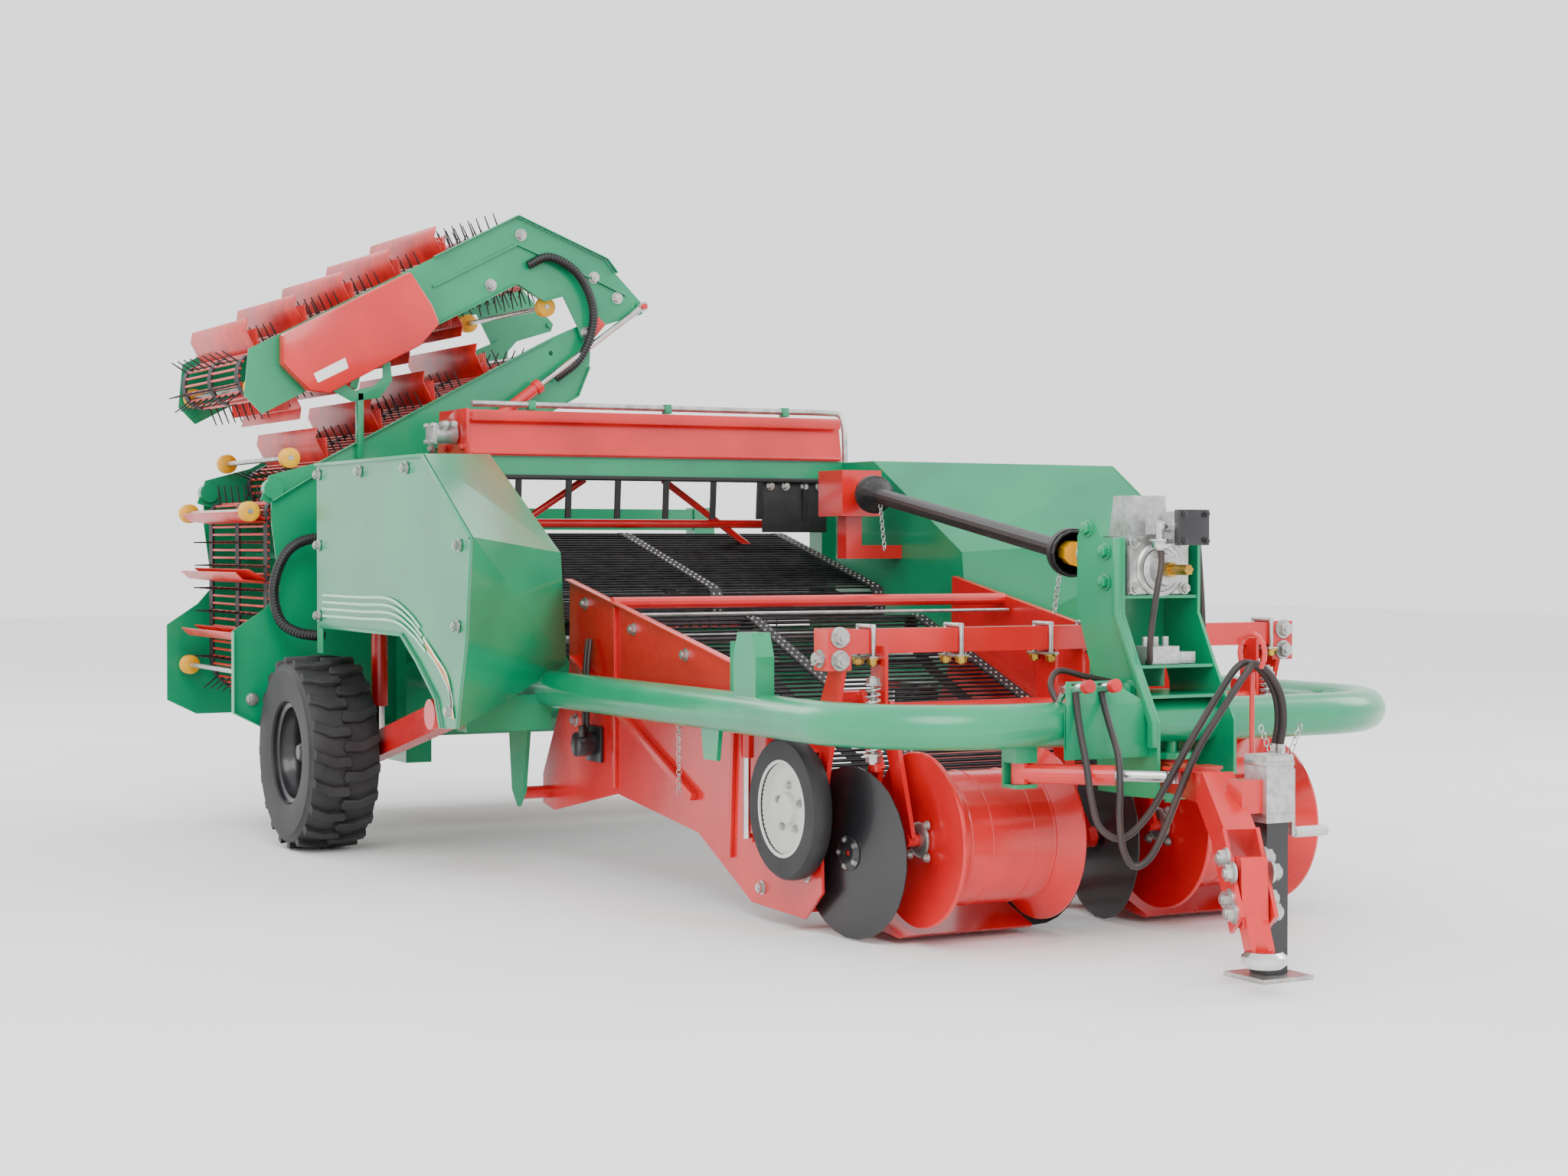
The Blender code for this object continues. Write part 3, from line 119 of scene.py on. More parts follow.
# hose rubber: a moulded cover, dull black, scuffed brown in patches about 150 mm long
hose_rubber = surface("hose_rubber", "#1d1a1a", "#3c2a25", 60.0, 0.50, bump_mm=0.5)


# turned steel of the hose plugs: bright, with a little haze
bright_steel = surface("bright_steel", "#d6d6d4", "#bdbdbb", 20.0, 0.22, metallic=1.0, bump_mm=0.03)


def smooth_line(points, samples):
    """Evenly spread points on a smooth curve through a given route."""
    points = [Vector(p) for p in points]
    padded = [points[0] * 2 - points[1]] + points + [points[-1] * 2 - points[-2]]
    fine = []
    for a, b, c, d in zip(padded, padded[1:], padded[2:], padded[3:]):
        for k in range(16):
            t = k / 16.0
            curve = (2 * b) + (c - a) * t + (2 * a - 5 * b + 4 * c - d) * t**2
            curve += (3 * b - a - 3 * c + d) * t**3
            fine.append(curve * 0.5)
    fine.append(points[-1])
    lengths = [0.0]
    for a, b in zip(fine, fine[1:]):
        lengths.append(lengths[-1] + (b - a).length)
    result = []
    place = 0
    for k in range(samples):
        target = lengths[-1] * k / (samples - 1)
        while place < len(fine) - 2 and lengths[place + 1] < target:
            place += 1
        span = max(1e-9, lengths[place + 1] - lengths[place])
        result.append(fine[place].lerp(fine[place + 1], min(1.0, (target - lengths[place]) / span)))
    return result, lengths[-1]


def hose(name, route, radius, material, samples=60, sides=3):
    """A round tube on a smooth curve through the route, in the machine's own places."""
    places, length = smooth_line([at(*p) for p in route], samples)
    line = bpy.data.curves.new(name, "CURVE")
    line.dimensions = "3D"
    line.bevel_depth = radius
    line.bevel_resolution = sides
    line.use_fill_caps = True
    spline = line.splines.new("POLY")
    spline.points.add(len(places) - 1)
    for point, place in zip(spline.points, places):
        point.co = (*place, 1.0)
    line.materials.append(material)
    piece = bpy.data.objects.new(name, line)
    bpy.context.scene.collection.objects.link(piece)
    return piece, places, length


ring = (-0.050, -4.375, 0.970)
left_loop = [(-0.440, -3.996, 0.868), (-0.440, -4.000, 0.820), (-0.441, -4.022, 0.730),
    (-0.445, -4.064, 0.620), (-0.448, -4.094, 0.520), (-0.430, -4.116, 0.430), (-0.372, -4.152, 0.398),
    (-0.312, -4.200, 0.470), (-0.262, -4.248, 0.590), (-0.205, -4.290, 0.720), (-0.145, -4.328, 0.840),
    (-0.095, -4.354, 0.924),]
right_loop = [(-0.340, -3.996, 0.868), (-0.340, -4.002, 0.820), (-0.348, -4.050, 0.740),
    (-0.364, -4.118, 0.650), (-0.386, -4.158, 0.560), (-0.400, -4.176, 0.460), (-0.398, -4.192, 0.370),
    (-0.372, -4.212, 0.318), (-0.330, -4.236, 0.345), (-0.292, -4.258, 0.430), (-0.252, -4.282, 0.550),
    (-0.205, -4.312, 0.680), (-0.140, -4.360, 0.815), (-0.085, -4.384, 0.905),]
for word, side, loop in (("left", -1, left_loop), ("right", 1, right_loop)):
    x, y, z = ring[0], ring[1] - 0.014 * side, ring[2] - 0.030
    tail = [(x, y, z), (x + 0.050, y - 0.010, 0.905), (x + 0.088, y - 0.016, 0.840),
        (x + 0.104, y - 0.010, 0.760), (x + 0.100, y, 0.690)]
    line, places, length = hose("pressure_hose_" + word, loop + tail, 0.011, hose_rubber, 90)
    bpy.ops.object.select_all(action="DESELECT")
    bpy.ops.mesh.primitive_cylinder_add(vertices=24, radius=0.0135, depth=0.050,
        location=places[-1] - Vector((0, 0, 0.0252)))
    plug = bpy.context.object
    plug.name = "hose_plug_" + word
    bpy.ops.object.transform_apply(location=True, rotation=True, scale=True)
    bpy.ops.object.mode_set(mode="EDIT")
    bpy.ops.mesh.select_all(action="DESELECT")
    bpy.ops.object.mode_set(mode="OBJECT")
    for face in plug.data.polygons:
        face.select = face.normal.z < -0.9
    bpy.ops.object.mode_set(mode="EDIT")
    bpy.ops.mesh.inset(thickness=0.004)
    bpy.ops.mesh.extrude_region_move(TRANSFORM_OT_translate={"value": (0, 0, -0.030)})
    bpy.ops.object.mode_set(mode="OBJECT")
    bpy.ops.object.shade_smooth_by_angle(angle=math.radians(40.0))
    plug.data.materials.append(bright_steel)
    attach(plug, "root")
    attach(line, "root")
    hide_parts("tractor_hose_" + word)


# The workshop floor and the light: a pale matt floor, a large soft light over the front, one from the right
# and a weak one from behind, so that bent edges catch a thin highlight.
def choose(piece):
    """Select this piece and nothing else."""
    bpy.ops.object.select_all(action="DESELECT")
    piece.select_set(True)
    bpy.context.view_layer.objects.active = piece


bpy.ops.object.select_all(action="DESELECT")
bpy.ops.mesh.primitive_plane_add(size=60.0, location=at(0, 6, -0.001))
floor = bpy.context.object
floor.name = "workshop_floor"
floor.data.materials.append(surface("pale_concrete_paint", "#f4f4f3", "#efefee", 400.0, 0.85, bump_mm=0.1))
for name, place, turn, size, power in (("front_light", (-5, -11, 8.5), (48, 0, -22), 8.0, 950.0),
        ("right_light", (9, -4, 6.5), (58, 0, 66), 6.0, 480.0),
        ("rear_light", (-5, 9, 8), (-48, 0, 28), 6.0, 380.0),):
    bpy.ops.object.light_add(type="AREA", location=at(*place), rotation=[math.radians(a) for a in turn])
    lamp = bpy.context.object
    lamp.name = name
    lamp.data.shape = "DISK"
    lamp.data.size = size
    lamp.data.energy = power
world = bpy.data.worlds.new("soft_room")
world.use_nodes = True
world.node_tree.nodes["Background"].inputs["Color"].default_value = linear("#f5f6f8")
world.node_tree.nodes["Background"].inputs["Strength"].default_value = 1.90
bpy.context.scene.world = world


# The main frame is a round tube bent to a U, with welded plates; the tower, covers, chassis and beam are
# folded sheet and box section. All of it is shot-blasted steel under stove enamel in one green.
# green enamel: smooth and glossy, with faint orange peel about 2 mm across
green_enamel = surface("green_enamel", "#02915f", "#018257", 90.0, 0.30, bump_mm=0.25, coat=0.35)


def dress(material, *names):
    for name in names:
        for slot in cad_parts[name].material_slots:
            slot.material = material


dress(green_enamel, "main_frame", "tower", "side_cover_left", "side_cover_right", "rear_chassis",
    "cross_beam", "elevator_lower_frame", "elevator_inner_arm", "elevator_outer_arm")


def settle(name, material, body, bevel=0.0, replaced=(), angle=35.0):
    """Finish the active piece: its edges are rounded, and its place goes into its mesh."""
    piece = bpy.context.object
    choose(piece)
    bpy.ops.object.transform_apply(location=True, rotation=True, scale=True)
    if bevel:
        rounding = piece.modifiers.new("rounding", "BEVEL")
        rounding.width = bevel
        rounding.segments = 2
        rounding.limit_method = "ANGLE"
        rounding.angle_limit = math.radians(50.0)
        bpy.ops.object.modifier_apply(modifier="rounding")
    bpy.ops.object.shade_smooth_by_angle(angle=math.radians(angle))
    piece.name = name
    piece.data.name = name
    piece.data.materials.clear()
    piece.data.materials.append(material)
    if body:
        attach(piece, body)
    if replaced:
        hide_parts(*replaced)
    return piece


def weld(pieces):
    """Join pieces into one, which becomes the active one."""
    bpy.ops.object.select_all(action="DESELECT")
    for piece in pieces:
        piece.select_set(True)
    bpy.context.view_layer.objects.active = pieces[0]
    if len(pieces) > 1:
        bpy.ops.object.join()
    return bpy.context.object


def bar_stock(low, high):
    """A square-edged block between two corners, counted from CENTRE."""
    bpy.ops.object.select_all(action="DESELECT")
    middle = (Vector(low) + Vector(high)) / 2
    bpy.ops.mesh.primitive_cube_add(size=1.0, location=CENTRE + middle)
    made = bpy.context.object
    made.scale = [abs(h - l) for l, h in zip(low, high)]
    bpy.ops.object.transform_apply(location=True, rotation=True, scale=True)
    return made


def round_stock(start, end, radius, sides=20):
    """A round bar between two points, counted from CENTRE; 6 sides make a hexagon head or nut."""
    start, end = Vector(start), Vector(end)
    bpy.ops.object.select_all(action="DESELECT")
    turn = (end - start).to_track_quat("Z", "Y").to_euler()
    bpy.ops.mesh.primitive_cylinder_add(vertices=sides, radius=radius, depth=(end - start).length,
        location=CENTRE + (start + end) / 2, rotation=turn)
    bpy.ops.object.transform_apply(location=True, rotation=True, scale=True)
    return bpy.context.object


def flat_stock(start, end, width, height):
    """A rectangular bar between two points: width is level, height is across it."""
    start, end = Vector(start), Vector(end)
    bpy.ops.object.select_all(action="DESELECT")
    bpy.ops.mesh.primitive_cube_add(size=1.0)
    made = bpy.context.object
    along = (end - start).normalized()
    side = Vector((0, 0, 1)).cross(along)
    side = side.normalized() if side.length > 1e-4 else Vector((1, 0, 0))
    up = along.cross(side)
    turn = Matrix((side, up, along)).transposed().to_4x4()
    size = Matrix.Diagonal((width, height, (end - start).length, 1.0))
    made.data.transform(Matrix.Translation(CENTRE + (start + end) / 2) @ turn @ size)
    return made


def cut_plate(outline, axis, low, high):
    """A plate cut to an outline, (y, z) along X, (x, z) along Y or (x, y) along Z, and extruded."""
    spot = {"X": lambda u, v, w: (w, u, v), "Y": lambda u, v, w: (u, w, v), "Z": lambda u, v,
        w: (u, v, w)}[axis]
    mesh = bpy.data.meshes.new("plate")
    mesh.from_pydata([at(*spot(u, v, low)) for u, v in outline], [], [list(range(len(outline)))])
    made = bpy.data.objects.new("plate", mesh)
    bpy.context.scene.collection.objects.link(made)
    choose(made)
    bpy.ops.object.mode_set(mode="EDIT")
    bpy.ops.mesh.select_all(action="SELECT")
    step = {"X": (high - low, 0, 0), "Y": (0, high - low, 0), "Z": (0, 0, high - low)}[axis]
    bpy.ops.mesh.extrude_region_move(TRANSFORM_OT_translate={"value": step})
    bpy.ops.mesh.select_all(action="SELECT")
    bpy.ops.mesh.normals_make_consistent(inside=False)
    bpy.ops.object.mode_set(mode="OBJECT")
    return made


def turned(profile, centre, axis, steps=48):
    """A lathe shape: the profile is (radius, distance along the axis), spun all round."""
    mesh = bpy.data.meshes.new("turned")
    mesh.from_pydata([(r, 0, d) for r, d in profile], [(i, i + 1) for i in range(len(profile) - 1)], [])
    made = bpy.data.objects.new("turned", mesh)
    bpy.context.scene.collection.objects.link(made)
    choose(made)
    bpy.ops.object.mode_set(mode="EDIT")
    bpy.ops.mesh.select_all(action="SELECT")
    bpy.ops.mesh.spin(steps=steps, angle=2 * math.pi, center=(0, 0, 0), axis=(0, 0, 1))
    bpy.ops.mesh.select_all(action="SELECT")
    bpy.ops.mesh.remove_doubles(threshold=0.00005)
    bpy.ops.mesh.normals_make_consistent(inside=False)
    bpy.ops.object.mode_set(mode="OBJECT")
    turn = Vector(axis).to_track_quat("Z", "Y").to_matrix().to_4x4()
    made.data.transform(Matrix.Translation(CENTRE + Vector(centre)) @ turn)
    return made


def repeat(pattern, moves):
    """Copies of a piece, each with its own mesh, moved and joined; the pattern itself goes."""
    copies = []
    for move in moves:
        copy = pattern.copy()
        copy.data = pattern.data.copy()
        copy.data.transform(move)
        bpy.context.scene.collection.objects.link(copy)
        copies.append(copy)
    bpy.data.objects.remove(pattern, do_unlink=True)
    return weld(copies)


# zinc-plated fasteners: a bright, slightly milky grey with fine blotches
zinc_plate = surface("zinc_plate", "#c9c9c5", "#a5a6a4", 12.0, 0.32, metallic=0.85, bump_mm=0.05)


def bolts(places, axis, size=0.024):
    """Hexagon heads on washers, standing on a face that looks along the axis."""
    way = Vector(axis).normalized()
    made = []
    for place in places:
        foot = Vector(place)
        made.append(round_stock(foot - way * 0.002, foot + way * size * 0.16, size * 0.95, 20))
        made.append(round_stock(foot + way * size * 0.1, foot + way * size * 0.75, size * 0.72, 6))
        made.append(round_stock(foot + way * size * 0.7, foot + way * size * 0.95, size * 0.38, 12))
    return made


# Two implement tyres carry the machine. The casing is vulcanised rubber with staggered, hooked lugs on the
# tread and a rim guard on each side; it turns with its pressed steel rim.
tyre_rubber = surface("tyre_rubber", "#2b292b", "#1d1c1e", 30.0, 0.62, bump_mm=0.8)
wheel_radius = (tyre_high[2] - tyre_low[2]) / 2
axle_z = (tyre_high[2] + tyre_low[2]) / 2
carcass = wheel_radius - 0.024
half_tread = (tyre_high[0] - tyre_low[0]) / 2
for word, side in (("left", -1), ("right", 1)):
    hub = (side * 1.590, 0.0, axle_z)
    wall = [(0.214, -half_tread + 0.030), (0.222, -half_tread + 0.012), (0.250, -half_tread + 0.006),
        (0.300, -half_tread + 0.001), (0.352, -half_tread), (0.362, -half_tread + 0.008),
        (0.380, -half_tread + 0.012), (carcass - 0.004, -half_tread + 0.030), (carcass, -half_tread + 0.060)]
    profile = wall + [(r, -d) for r, d in reversed(wall)]
    casing = turned(profile + [(0.213, 0.0), wall[0]], hub, (1, 0, 0), 72)
    lugs = []
    lug_count = 20
    for k in range(2 * lug_count):
        right = 1 if k % 2 else -1
        inner = right * -0.018
        elbow = right * 0.060
        outer = right * (half_tread - 0.012)
        shape = [(inner, 0.000), (inner + right * 0.012, 0.030), (elbow, 0.026), (outer, 0.062),
            (outer, 0.020), (elbow + right * 0.006, -0.020), (inner + right * 0.008, -0.018)]
        lower = [Vector((hub[0] + u, v - 0.02, carcass - 0.012)) for u, v in shape]
        upper = [Vector((hub[0] + u * 0.985, (v - 0.02) * 0.92, wheel_radius - abs(u) * 0.045)) for u,
            v in shape]
        count = len(shape)
        faces = [list(range(count)), list(range(count, 2 * count))]
        faces += [[i, (i + 1) % count, count + (i + 1) % count, count + i] for i in range(count)]
        mesh = bpy.data.meshes.new("lug")
        mesh.from_pydata([tuple(p) for p in lower + upper], [], faces)
        lug = bpy.data.objects.new("lug", mesh)
        bpy.context.scene.collection.objects.link(lug)
        choose(lug)
        bpy.ops.object.mode_set(mode="EDIT")
        bpy.ops.mesh.select_all(action="SELECT")
        bpy.ops.mesh.normals_make_consistent(inside=False)
        bpy.ops.mesh.bevel(offset=0.003, segments=1)
        bpy.ops.object.mode_set(mode="OBJECT")
        spin = Matrix.Rotation(math.pi * k / lug_count, 4, "X")
        mesh.transform(Matrix.Translation(CENTRE + Vector((0, 0, axle_z))) @ spin)
        lugs.append(lug)
    weld([casing] + lugs)
    settle("lugged_tyre_" + word, tyre_rubber, "wheel_" + word, replaced=("tyre_" + word,))

# Each rim is two pressed steel dishes, enamelled black, on a six-bolt hub with a grease cap.
black_enamel = surface("black_enamel", "#1c1b1e", "#121215", 50.0, 0.34, bump_mm=0.15, coat=0.3)
for word, side in (("left", -1), ("right", 1)):
    hub = (side * 1.590, 0.0, axle_z)
    dish = [(0.214, half_tread - 0.020), (0.213, half_tread - 0.034), (0.196, half_tread - 0.042),
        (0.192, half_tread - 0.080), (0.184, half_tread - 0.090), (0.180, 0.020), (0.150, 0.005),
        (0.120, 0.012), (0.090, 0.030), (0.050, 0.032), (0.046, 0.010), (0.090, -0.010), (0.184, -0.016),
        (0.192, -0.040), (0.196, -half_tread + 0.042), (0.213, -half_tread + 0.034),
        (0.214, -half_tread + 0.020), (0.2135, 0.0), (0.214, half_tread - 0.020)]
    rim = turned(dish, hub, (side, 0, 0), 64)
    weld([rim])
    settle("pressed_rim_" + word, black_enamel, "wheel_" + word, replaced=("rim_" + word,))
    cap = [(0.0, 0.075), (0.030, 0.073), (0.040, 0.062), (0.0445, 0.050), (0.0445, 0.035), (0.0, 0.035)]
    weld([turned(cap, (hub[0] + side * 0.018, 0, axle_z), (side, 0, 0), 32)])
    settle("grease_cap_" + word, black_enamel, "wheel_" + word)
    ring_bolts = []
    for k in range(6):
        a = math.pi * k / 3
        spot = (hub[0] + side * 0.030, 0.070 * math.cos(a), axle_z + 0.070 * math.sin(a))
        ring_bolts += bolts([spot], (side, 0, 0), 0.018)
    weld(ring_bolts)
    settle("wheel_bolts_" + word, zinc_plate, "wheel_" + word)


# The rod web lifts the crop from the shares to the hood: hardened steel rods riveted at each end and in the
# middle to three rubber belts. The front run swings with the intake, the rear run stays with the chassis.
web_steel = surface("web_steel", "#2c2a2c", "#151416", 15.0, 0.36, metallic=0.75, bump_mm=0.1)
belt_rubber = surface("belt_rubber", "#262426", "#171617", 25.0, 0.66, bump_mm=0.4)


def walk(outline, pitch):
    """Places at an even pitch round a closed outline, each with the outline's outward direction."""
    points = [Vector((u, v)) for u, v in outline]
    area = sum(a.x * b.y - b.x * a.y for a, b in zip(points, points[1:] + points[:1]))
    places = []
    carried = 0.0
    for a, b in zip(points, points[1:] + points[:1]):
        step = b - a
        out = Vector((step.y, -step.x)).normalized() * (1 if area > 0 else -1)
        along = carried
        while along < step.length:
            places.append((a + step.normalized() * along, out))
            along += pitch
        carried = along - step.length
    return places


def band(outline, axis, low, high, thickness):
    """A flat belt of some thickness that runs round a closed outline."""
    points = [Vector((u, v)) for u, v in outline]
    area = sum(a.x * b.y - b.x * a.y for a, b in zip(points, points[1:] + points[:1]))
    sign = 1 if area > 0 else -1
    count = len(points)
    inner = []
    for i, point in enumerate(points):
        before = (point - points[i - 1]).normalized()
        after = (points[(i + 1) % count] - point).normalized()
        out = (Vector((before.y, -before.x)) + Vector((after.y, -after.x))) * sign
        inner.append(point - out.normalized() * thickness / max(0.5, out.length / 2))
    spot = (lambda p, w: at(w, p.x, p.y)) if axis == "X" else (lambda p, w: at(p.x, w, p.y))
    verts = [tuple(spot(p, w)) for w in (low, high) for ring_points in (points, inner) for p in ring_points]
    faces = []
    for i in range(count):
        j = (i + 1) % count
        faces.append((i, j, 2 * count + j, 2 * count + i))
        faces.append((count + j, count + i, 3 * count + i, 3 * count + j))
        faces.append((j, i, count + i, count + j))
        faces.append((2 * count + i, 2 * count + j, 3 * count + j, 3 * count + i))
    mesh = bpy.data.meshes.new("band")
    mesh.from_pydata(verts, [], faces)
    made = bpy.data.objects.new("band", mesh)
    bpy.context.scene.collection.objects.link(made)
    choose(made)
    bpy.ops.object.mode_set(mode="EDIT")
    bpy.ops.mesh.select_all(action="SELECT")
    bpy.ops.mesh.normals_make_consistent(inside=False)
    bpy.ops.object.mode_set(mode="OBJECT")
    return made


def rounded(outline, radius, steps=4):
    """The outline with each corner cut to a short curve."""
    points = [Vector((u, v)) for u, v in outline]
    result = []
    for i, point in enumerate(points):
        before = points[i - 1] - point
        after = points[(i + 1) % len(points)] - point
        reach = min(radius, before.length * 0.45, after.length * 0.45)
        a, b = point + before.normalized() * reach, point + after.normalized() * reach
        for k in range(steps + 1):
            t = k / steps
            result.append(tuple(a * (1 - t) ** 2 + point * 2 * t * (1 - t) + b * t**2))
    return result


web_half = 0.850
rod_radius = 0.0055
rod_pitch = 0.042
front_loop = [(-2.985, 0.240), (-2.20, 0.540), (-0.98, 1.000), (-0.93, 0.985), (-0.91, 0.88),
    (-1.10, 0.755), (-1.60, 0.550), (-2.05, 0.380), (-2.75, 0.130), (-2.93, 0.150)]
rear_loop = [(-0.655, 1.108), (0.365, 1.370), (0.365, 1.225), (-0.655, 0.965)]
for name, body, loop, node in (("front", "intake", front_loop, "intake_web"),
        ("rear", "root", rear_loop, "upper_web")):
    loop = rounded(loop, 0.06)
    stops = walk(loop, rod_pitch)
    pattern = round_stock((-web_half, 0, 0), (web_half, 0, 0), rod_radius, 8)
    moves = [Matrix.Translation((0, p.x - out.x * 0.006, p.y - out.y * 0.006)) for p, out in stops]
    repeat(pattern, moves)
    settle("web_rods_" + name, web_steel, body, replaced=(node,))
    belts = [band(loop, "X", x - 0.030, x + 0.030, 0.009) for x in (-web_half
        + 0.031, 0.0, web_half - 0.031)]
    weld(belts)
    settle("web_belts_" + name, belt_rubber, body)
    rivets = []
    for place, out in stops:
        for x in (-web_half + 0.018, -web_half + 0.044, -0.014, 0.014, web_half - 0.044, web_half - 0.018):
            turn = Vector((0, out.x, out.y)).to_track_quat("Z", "Y").to_matrix().to_4x4()
            rivets.append(Matrix.Translation(at(x, place.x, place.y)) @ turn)
    bpy.ops.object.select_all(action="DESELECT")
    bpy.ops.mesh.primitive_cone_add(vertices=8, radius1=0.0075, radius2=0.004, depth=0.006)
    repeat(bpy.context.object, rivets)
    settle("web_rivets_" + name, zinc_plate, body)

# The web turns on a shaft at each end.
yellow_nylon = surface("yellow_nylon", "#f0b400", "#d99a00", 20.0, 0.42, bump_mm=0.05)
for name, body, y, z in (("front", "intake", -1.020, 0.915), ("share", "intake", -2.860, 0.210),
        ("rear", "root", 0.290, 1.275)):
    shafts = [round_stock((-0.88, y, z), (0.88, y, z), 0.018, 20)]
    weld(shafts)
    settle("web_shaft_" + name, zinc_plate, body)


# The elevator belt carries the crop up in pockets: red coated rods on belts, red folded flights with comb
# fingers behind them, and black sprung fingers that stand out between the flights.
red_coating = surface("red_coating", "#dd2a22", "#b81b18", 25.0, 0.42, bump_mm=0.4, coat=0.15)
finger_rubber = surface("finger_rubber", "#1b191a", "#101010", 20.0, 0.55, bump_mm=0.2)
belt_y0, belt_y1 = 0.520, 1.468


def along_arm(origin, angle, u, v):
    """A point u along and v across an arm that rises at the angle."""
    c, s = math.cos(math.radians(angle)), math.sin(math.radians(angle))
    return (origin[0] + u * c - v * s, origin[1] + u * s + v * c)


lower_loop = [(1.02, 0.605), (-1.56, 0.605), (-1.655, 0.70), (-1.655, 1.50), (-1.53, 1.50), (-1.23, 1.36),
    (-1.23, 0.93), (-1.17, 0.875), (1.02, 0.875)]
belt_foot = (-1.450, 1.525)
inner_loop = [along_arm(belt_foot, 28, u, v) for u,
    v in ((0.0, -0.06), (0.05, -0.11), (1.16, -0.11), (1.21, -0.06), (1.21, 0.06), (1.16, 0.11),
    (0.05, 0.11), (0.0, 0.06))]
outer_loop = [(-1.79, 2.05), (-1.77, 2.13), (-0.50, 2.79), (-0.14, 2.655), (-0.12, 2.60), (-0.30, 2.52),
    (-0.48, 2.56), (-1.68, 1.935), (-1.76, 1.97)]
lower_flights = [((-1.655, 0.86 + 0.27 * k), (-1.0, 0.12)) for k in range(3)]
lower_flights += [((-1.00 + 0.45 * k, 0.875), (0.0, 1.0)) for k in range(5)]
rise = (math.cos(math.radians(118)), math.sin(math.radians(118)))
inner_flights = [(along_arm(belt_foot, 28, 0.14 + 0.29 * k, 0.11), rise) for k in range(4)]
inner_flights += [(along_arm(belt_foot, 28, 0.42 + 0.29 * k, -0.11), (-rise[0], -rise[1])) for k in range(3)]
outer_flights = [((-1.768 + (0.08 + 0.25 * k) * 0.887, 2.13 + (0.08 + 0.25 * k) * 0.461),
    rise) for k in range(5)]
outer_flights += [((-1.68 + (0.16 + 0.29 * k) * 0.887, 1.935 + (0.16 + 0.29 * k) * 0.462),
    (-rise[0], -rise[1])) for k in range(4)]
for name, body, loop, flights, node in (("lower", "root", lower_loop, lower_flights, "elevator_lower_belt"),
        ("inner", "inner_arm", inner_loop, inner_flights, "elevator_inner_belt"),
        ("outer", "outer_arm", outer_loop, outer_flights, "elevator_outer_belt"),):
    soft = rounded(loop, 0.05)
    stops = walk(soft, 0.036)
    pattern = round_stock((0, belt_y0, 0), (0, belt_y1, 0), 0.006, 8)
    repeat(pattern, [Matrix.Translation((p.x - o.x * 0.006, 0, p.y - o.y * 0.006)) for p, o in stops])
    settle("elevator_rods_" + name, red_coating, body, replaced=(node,))
    weld([band(soft, "Y", y - 0.030, y + 0.030, 0.010) for y in (belt_y0 + 0.031, 0.994, belt_y1 - 0.031)])
    settle("elevator_belts_" + name, belt_rubber, body)
    pockets = []
    for (x, z), (nx, nz) in flights:
        way = Vector((nx, nz)).normalized()
        back = Vector((way.y, -way.x))
        foot = Vector((x, z))
        lip = foot + way * 0.105
        tip = foot + way * 0.146 + back * 0.030
        sheet = [foot - way * 0.006, lip, tip, tip + back * 0.004 - way * 0.004, lip + back * 0.005, foot
            + back * 0.005]
        plate = cut_plate([tuple(p) for p in sheet], "Y", belt_y0 + 0.02, belt_y1 - 0.02)
        pockets.append(plate)
    weld(pockets)
    settle("flights_" + name, red_coating, body, bevel=0.0015)
    combs = []
    for (x, z), (nx, nz) in flights:
        way = Vector((nx, 0, nz)).normalized()
        back = Vector((way.z, 0, -way.x))
        for k in range(34):
            y = belt_y0 + 0.035 + k * 0.0265
            foot = Vector((x, y, z)) + back * 0.016
            bend = foot + way * 0.085 + back * 0.035
            combs.append((foot, bend))
    fingers = []
    for foot, bend in combs:
        turn = (bend - foot).to_track_quat("Z", "Y").to_matrix().to_4x4()
        fingers.append(Matrix.Translation(CENTRE + (foot + bend) / 2) @ turn)
    bpy.ops.object.select_all(action="DESELECT")
    bpy.ops.mesh.primitive_cone_add(vertices=6, radius1=0.006, radius2=0.004, depth=0.094)
    repeat(bpy.context.object, fingers)
    settle("comb_fingers_" + name, red_coating, body)
    spikes = []
    for index, (p, o) in enumerate(stops):
        if index % 3:
            continue
        for k in range(9):
            y = belt_y0 + 0.045 + k * 0.107 + (0.02 if index % 2 else 0.0)
            way = Vector((o.x, 0, o.y))
            foot = Vector((p.x, y, p.y))
            if any((foot - Vector((x, y, z))).length < 0.028 for (x, z), _ in flights):
                continue
            turn = way.to_track_quat("Z", "Y").to_matrix().to_4x4()
            spikes.append(Matrix.Translation(CENTRE + foot + way * 0.038) @ turn)
    bpy.ops.object.select_all(action="DESELECT")
    bpy.ops.mesh.primitive_cone_add(vertices=6, radius1=0.0045, radius2=0.0028, depth=0.090)
    repeat(bpy.context.object, spikes)
    settle("spring_fingers_" + name, finger_rubber, body)


# The four elevator plates are folded channels: a flange of the same sheet stands out along their edges,
# and through bolts and yellow guide rollers carry the belts between them.
near_plate = 0.440


def flange(points, y, reach, thickness=0.006):
    """A folded edge that stands out from a plate along part of its outline."""
    made = []
    for (x0, z0), (x1, z1) in zip(points, points[1:]):
        along = Vector((x1 - x0, 0, z1 - z0))
        across = Vector((along.z, 0, -along.x)).normalized() * thickness
        a, b = Vector((x0, y, z0)), Vector((x1, y, z1))
        corners = [a, b, b - across, a - across]
        made.append(cut_plate([(c.x, c.z) for c in corners], "Y", min(y, y + reach), max(y, y + reach)))
    return made


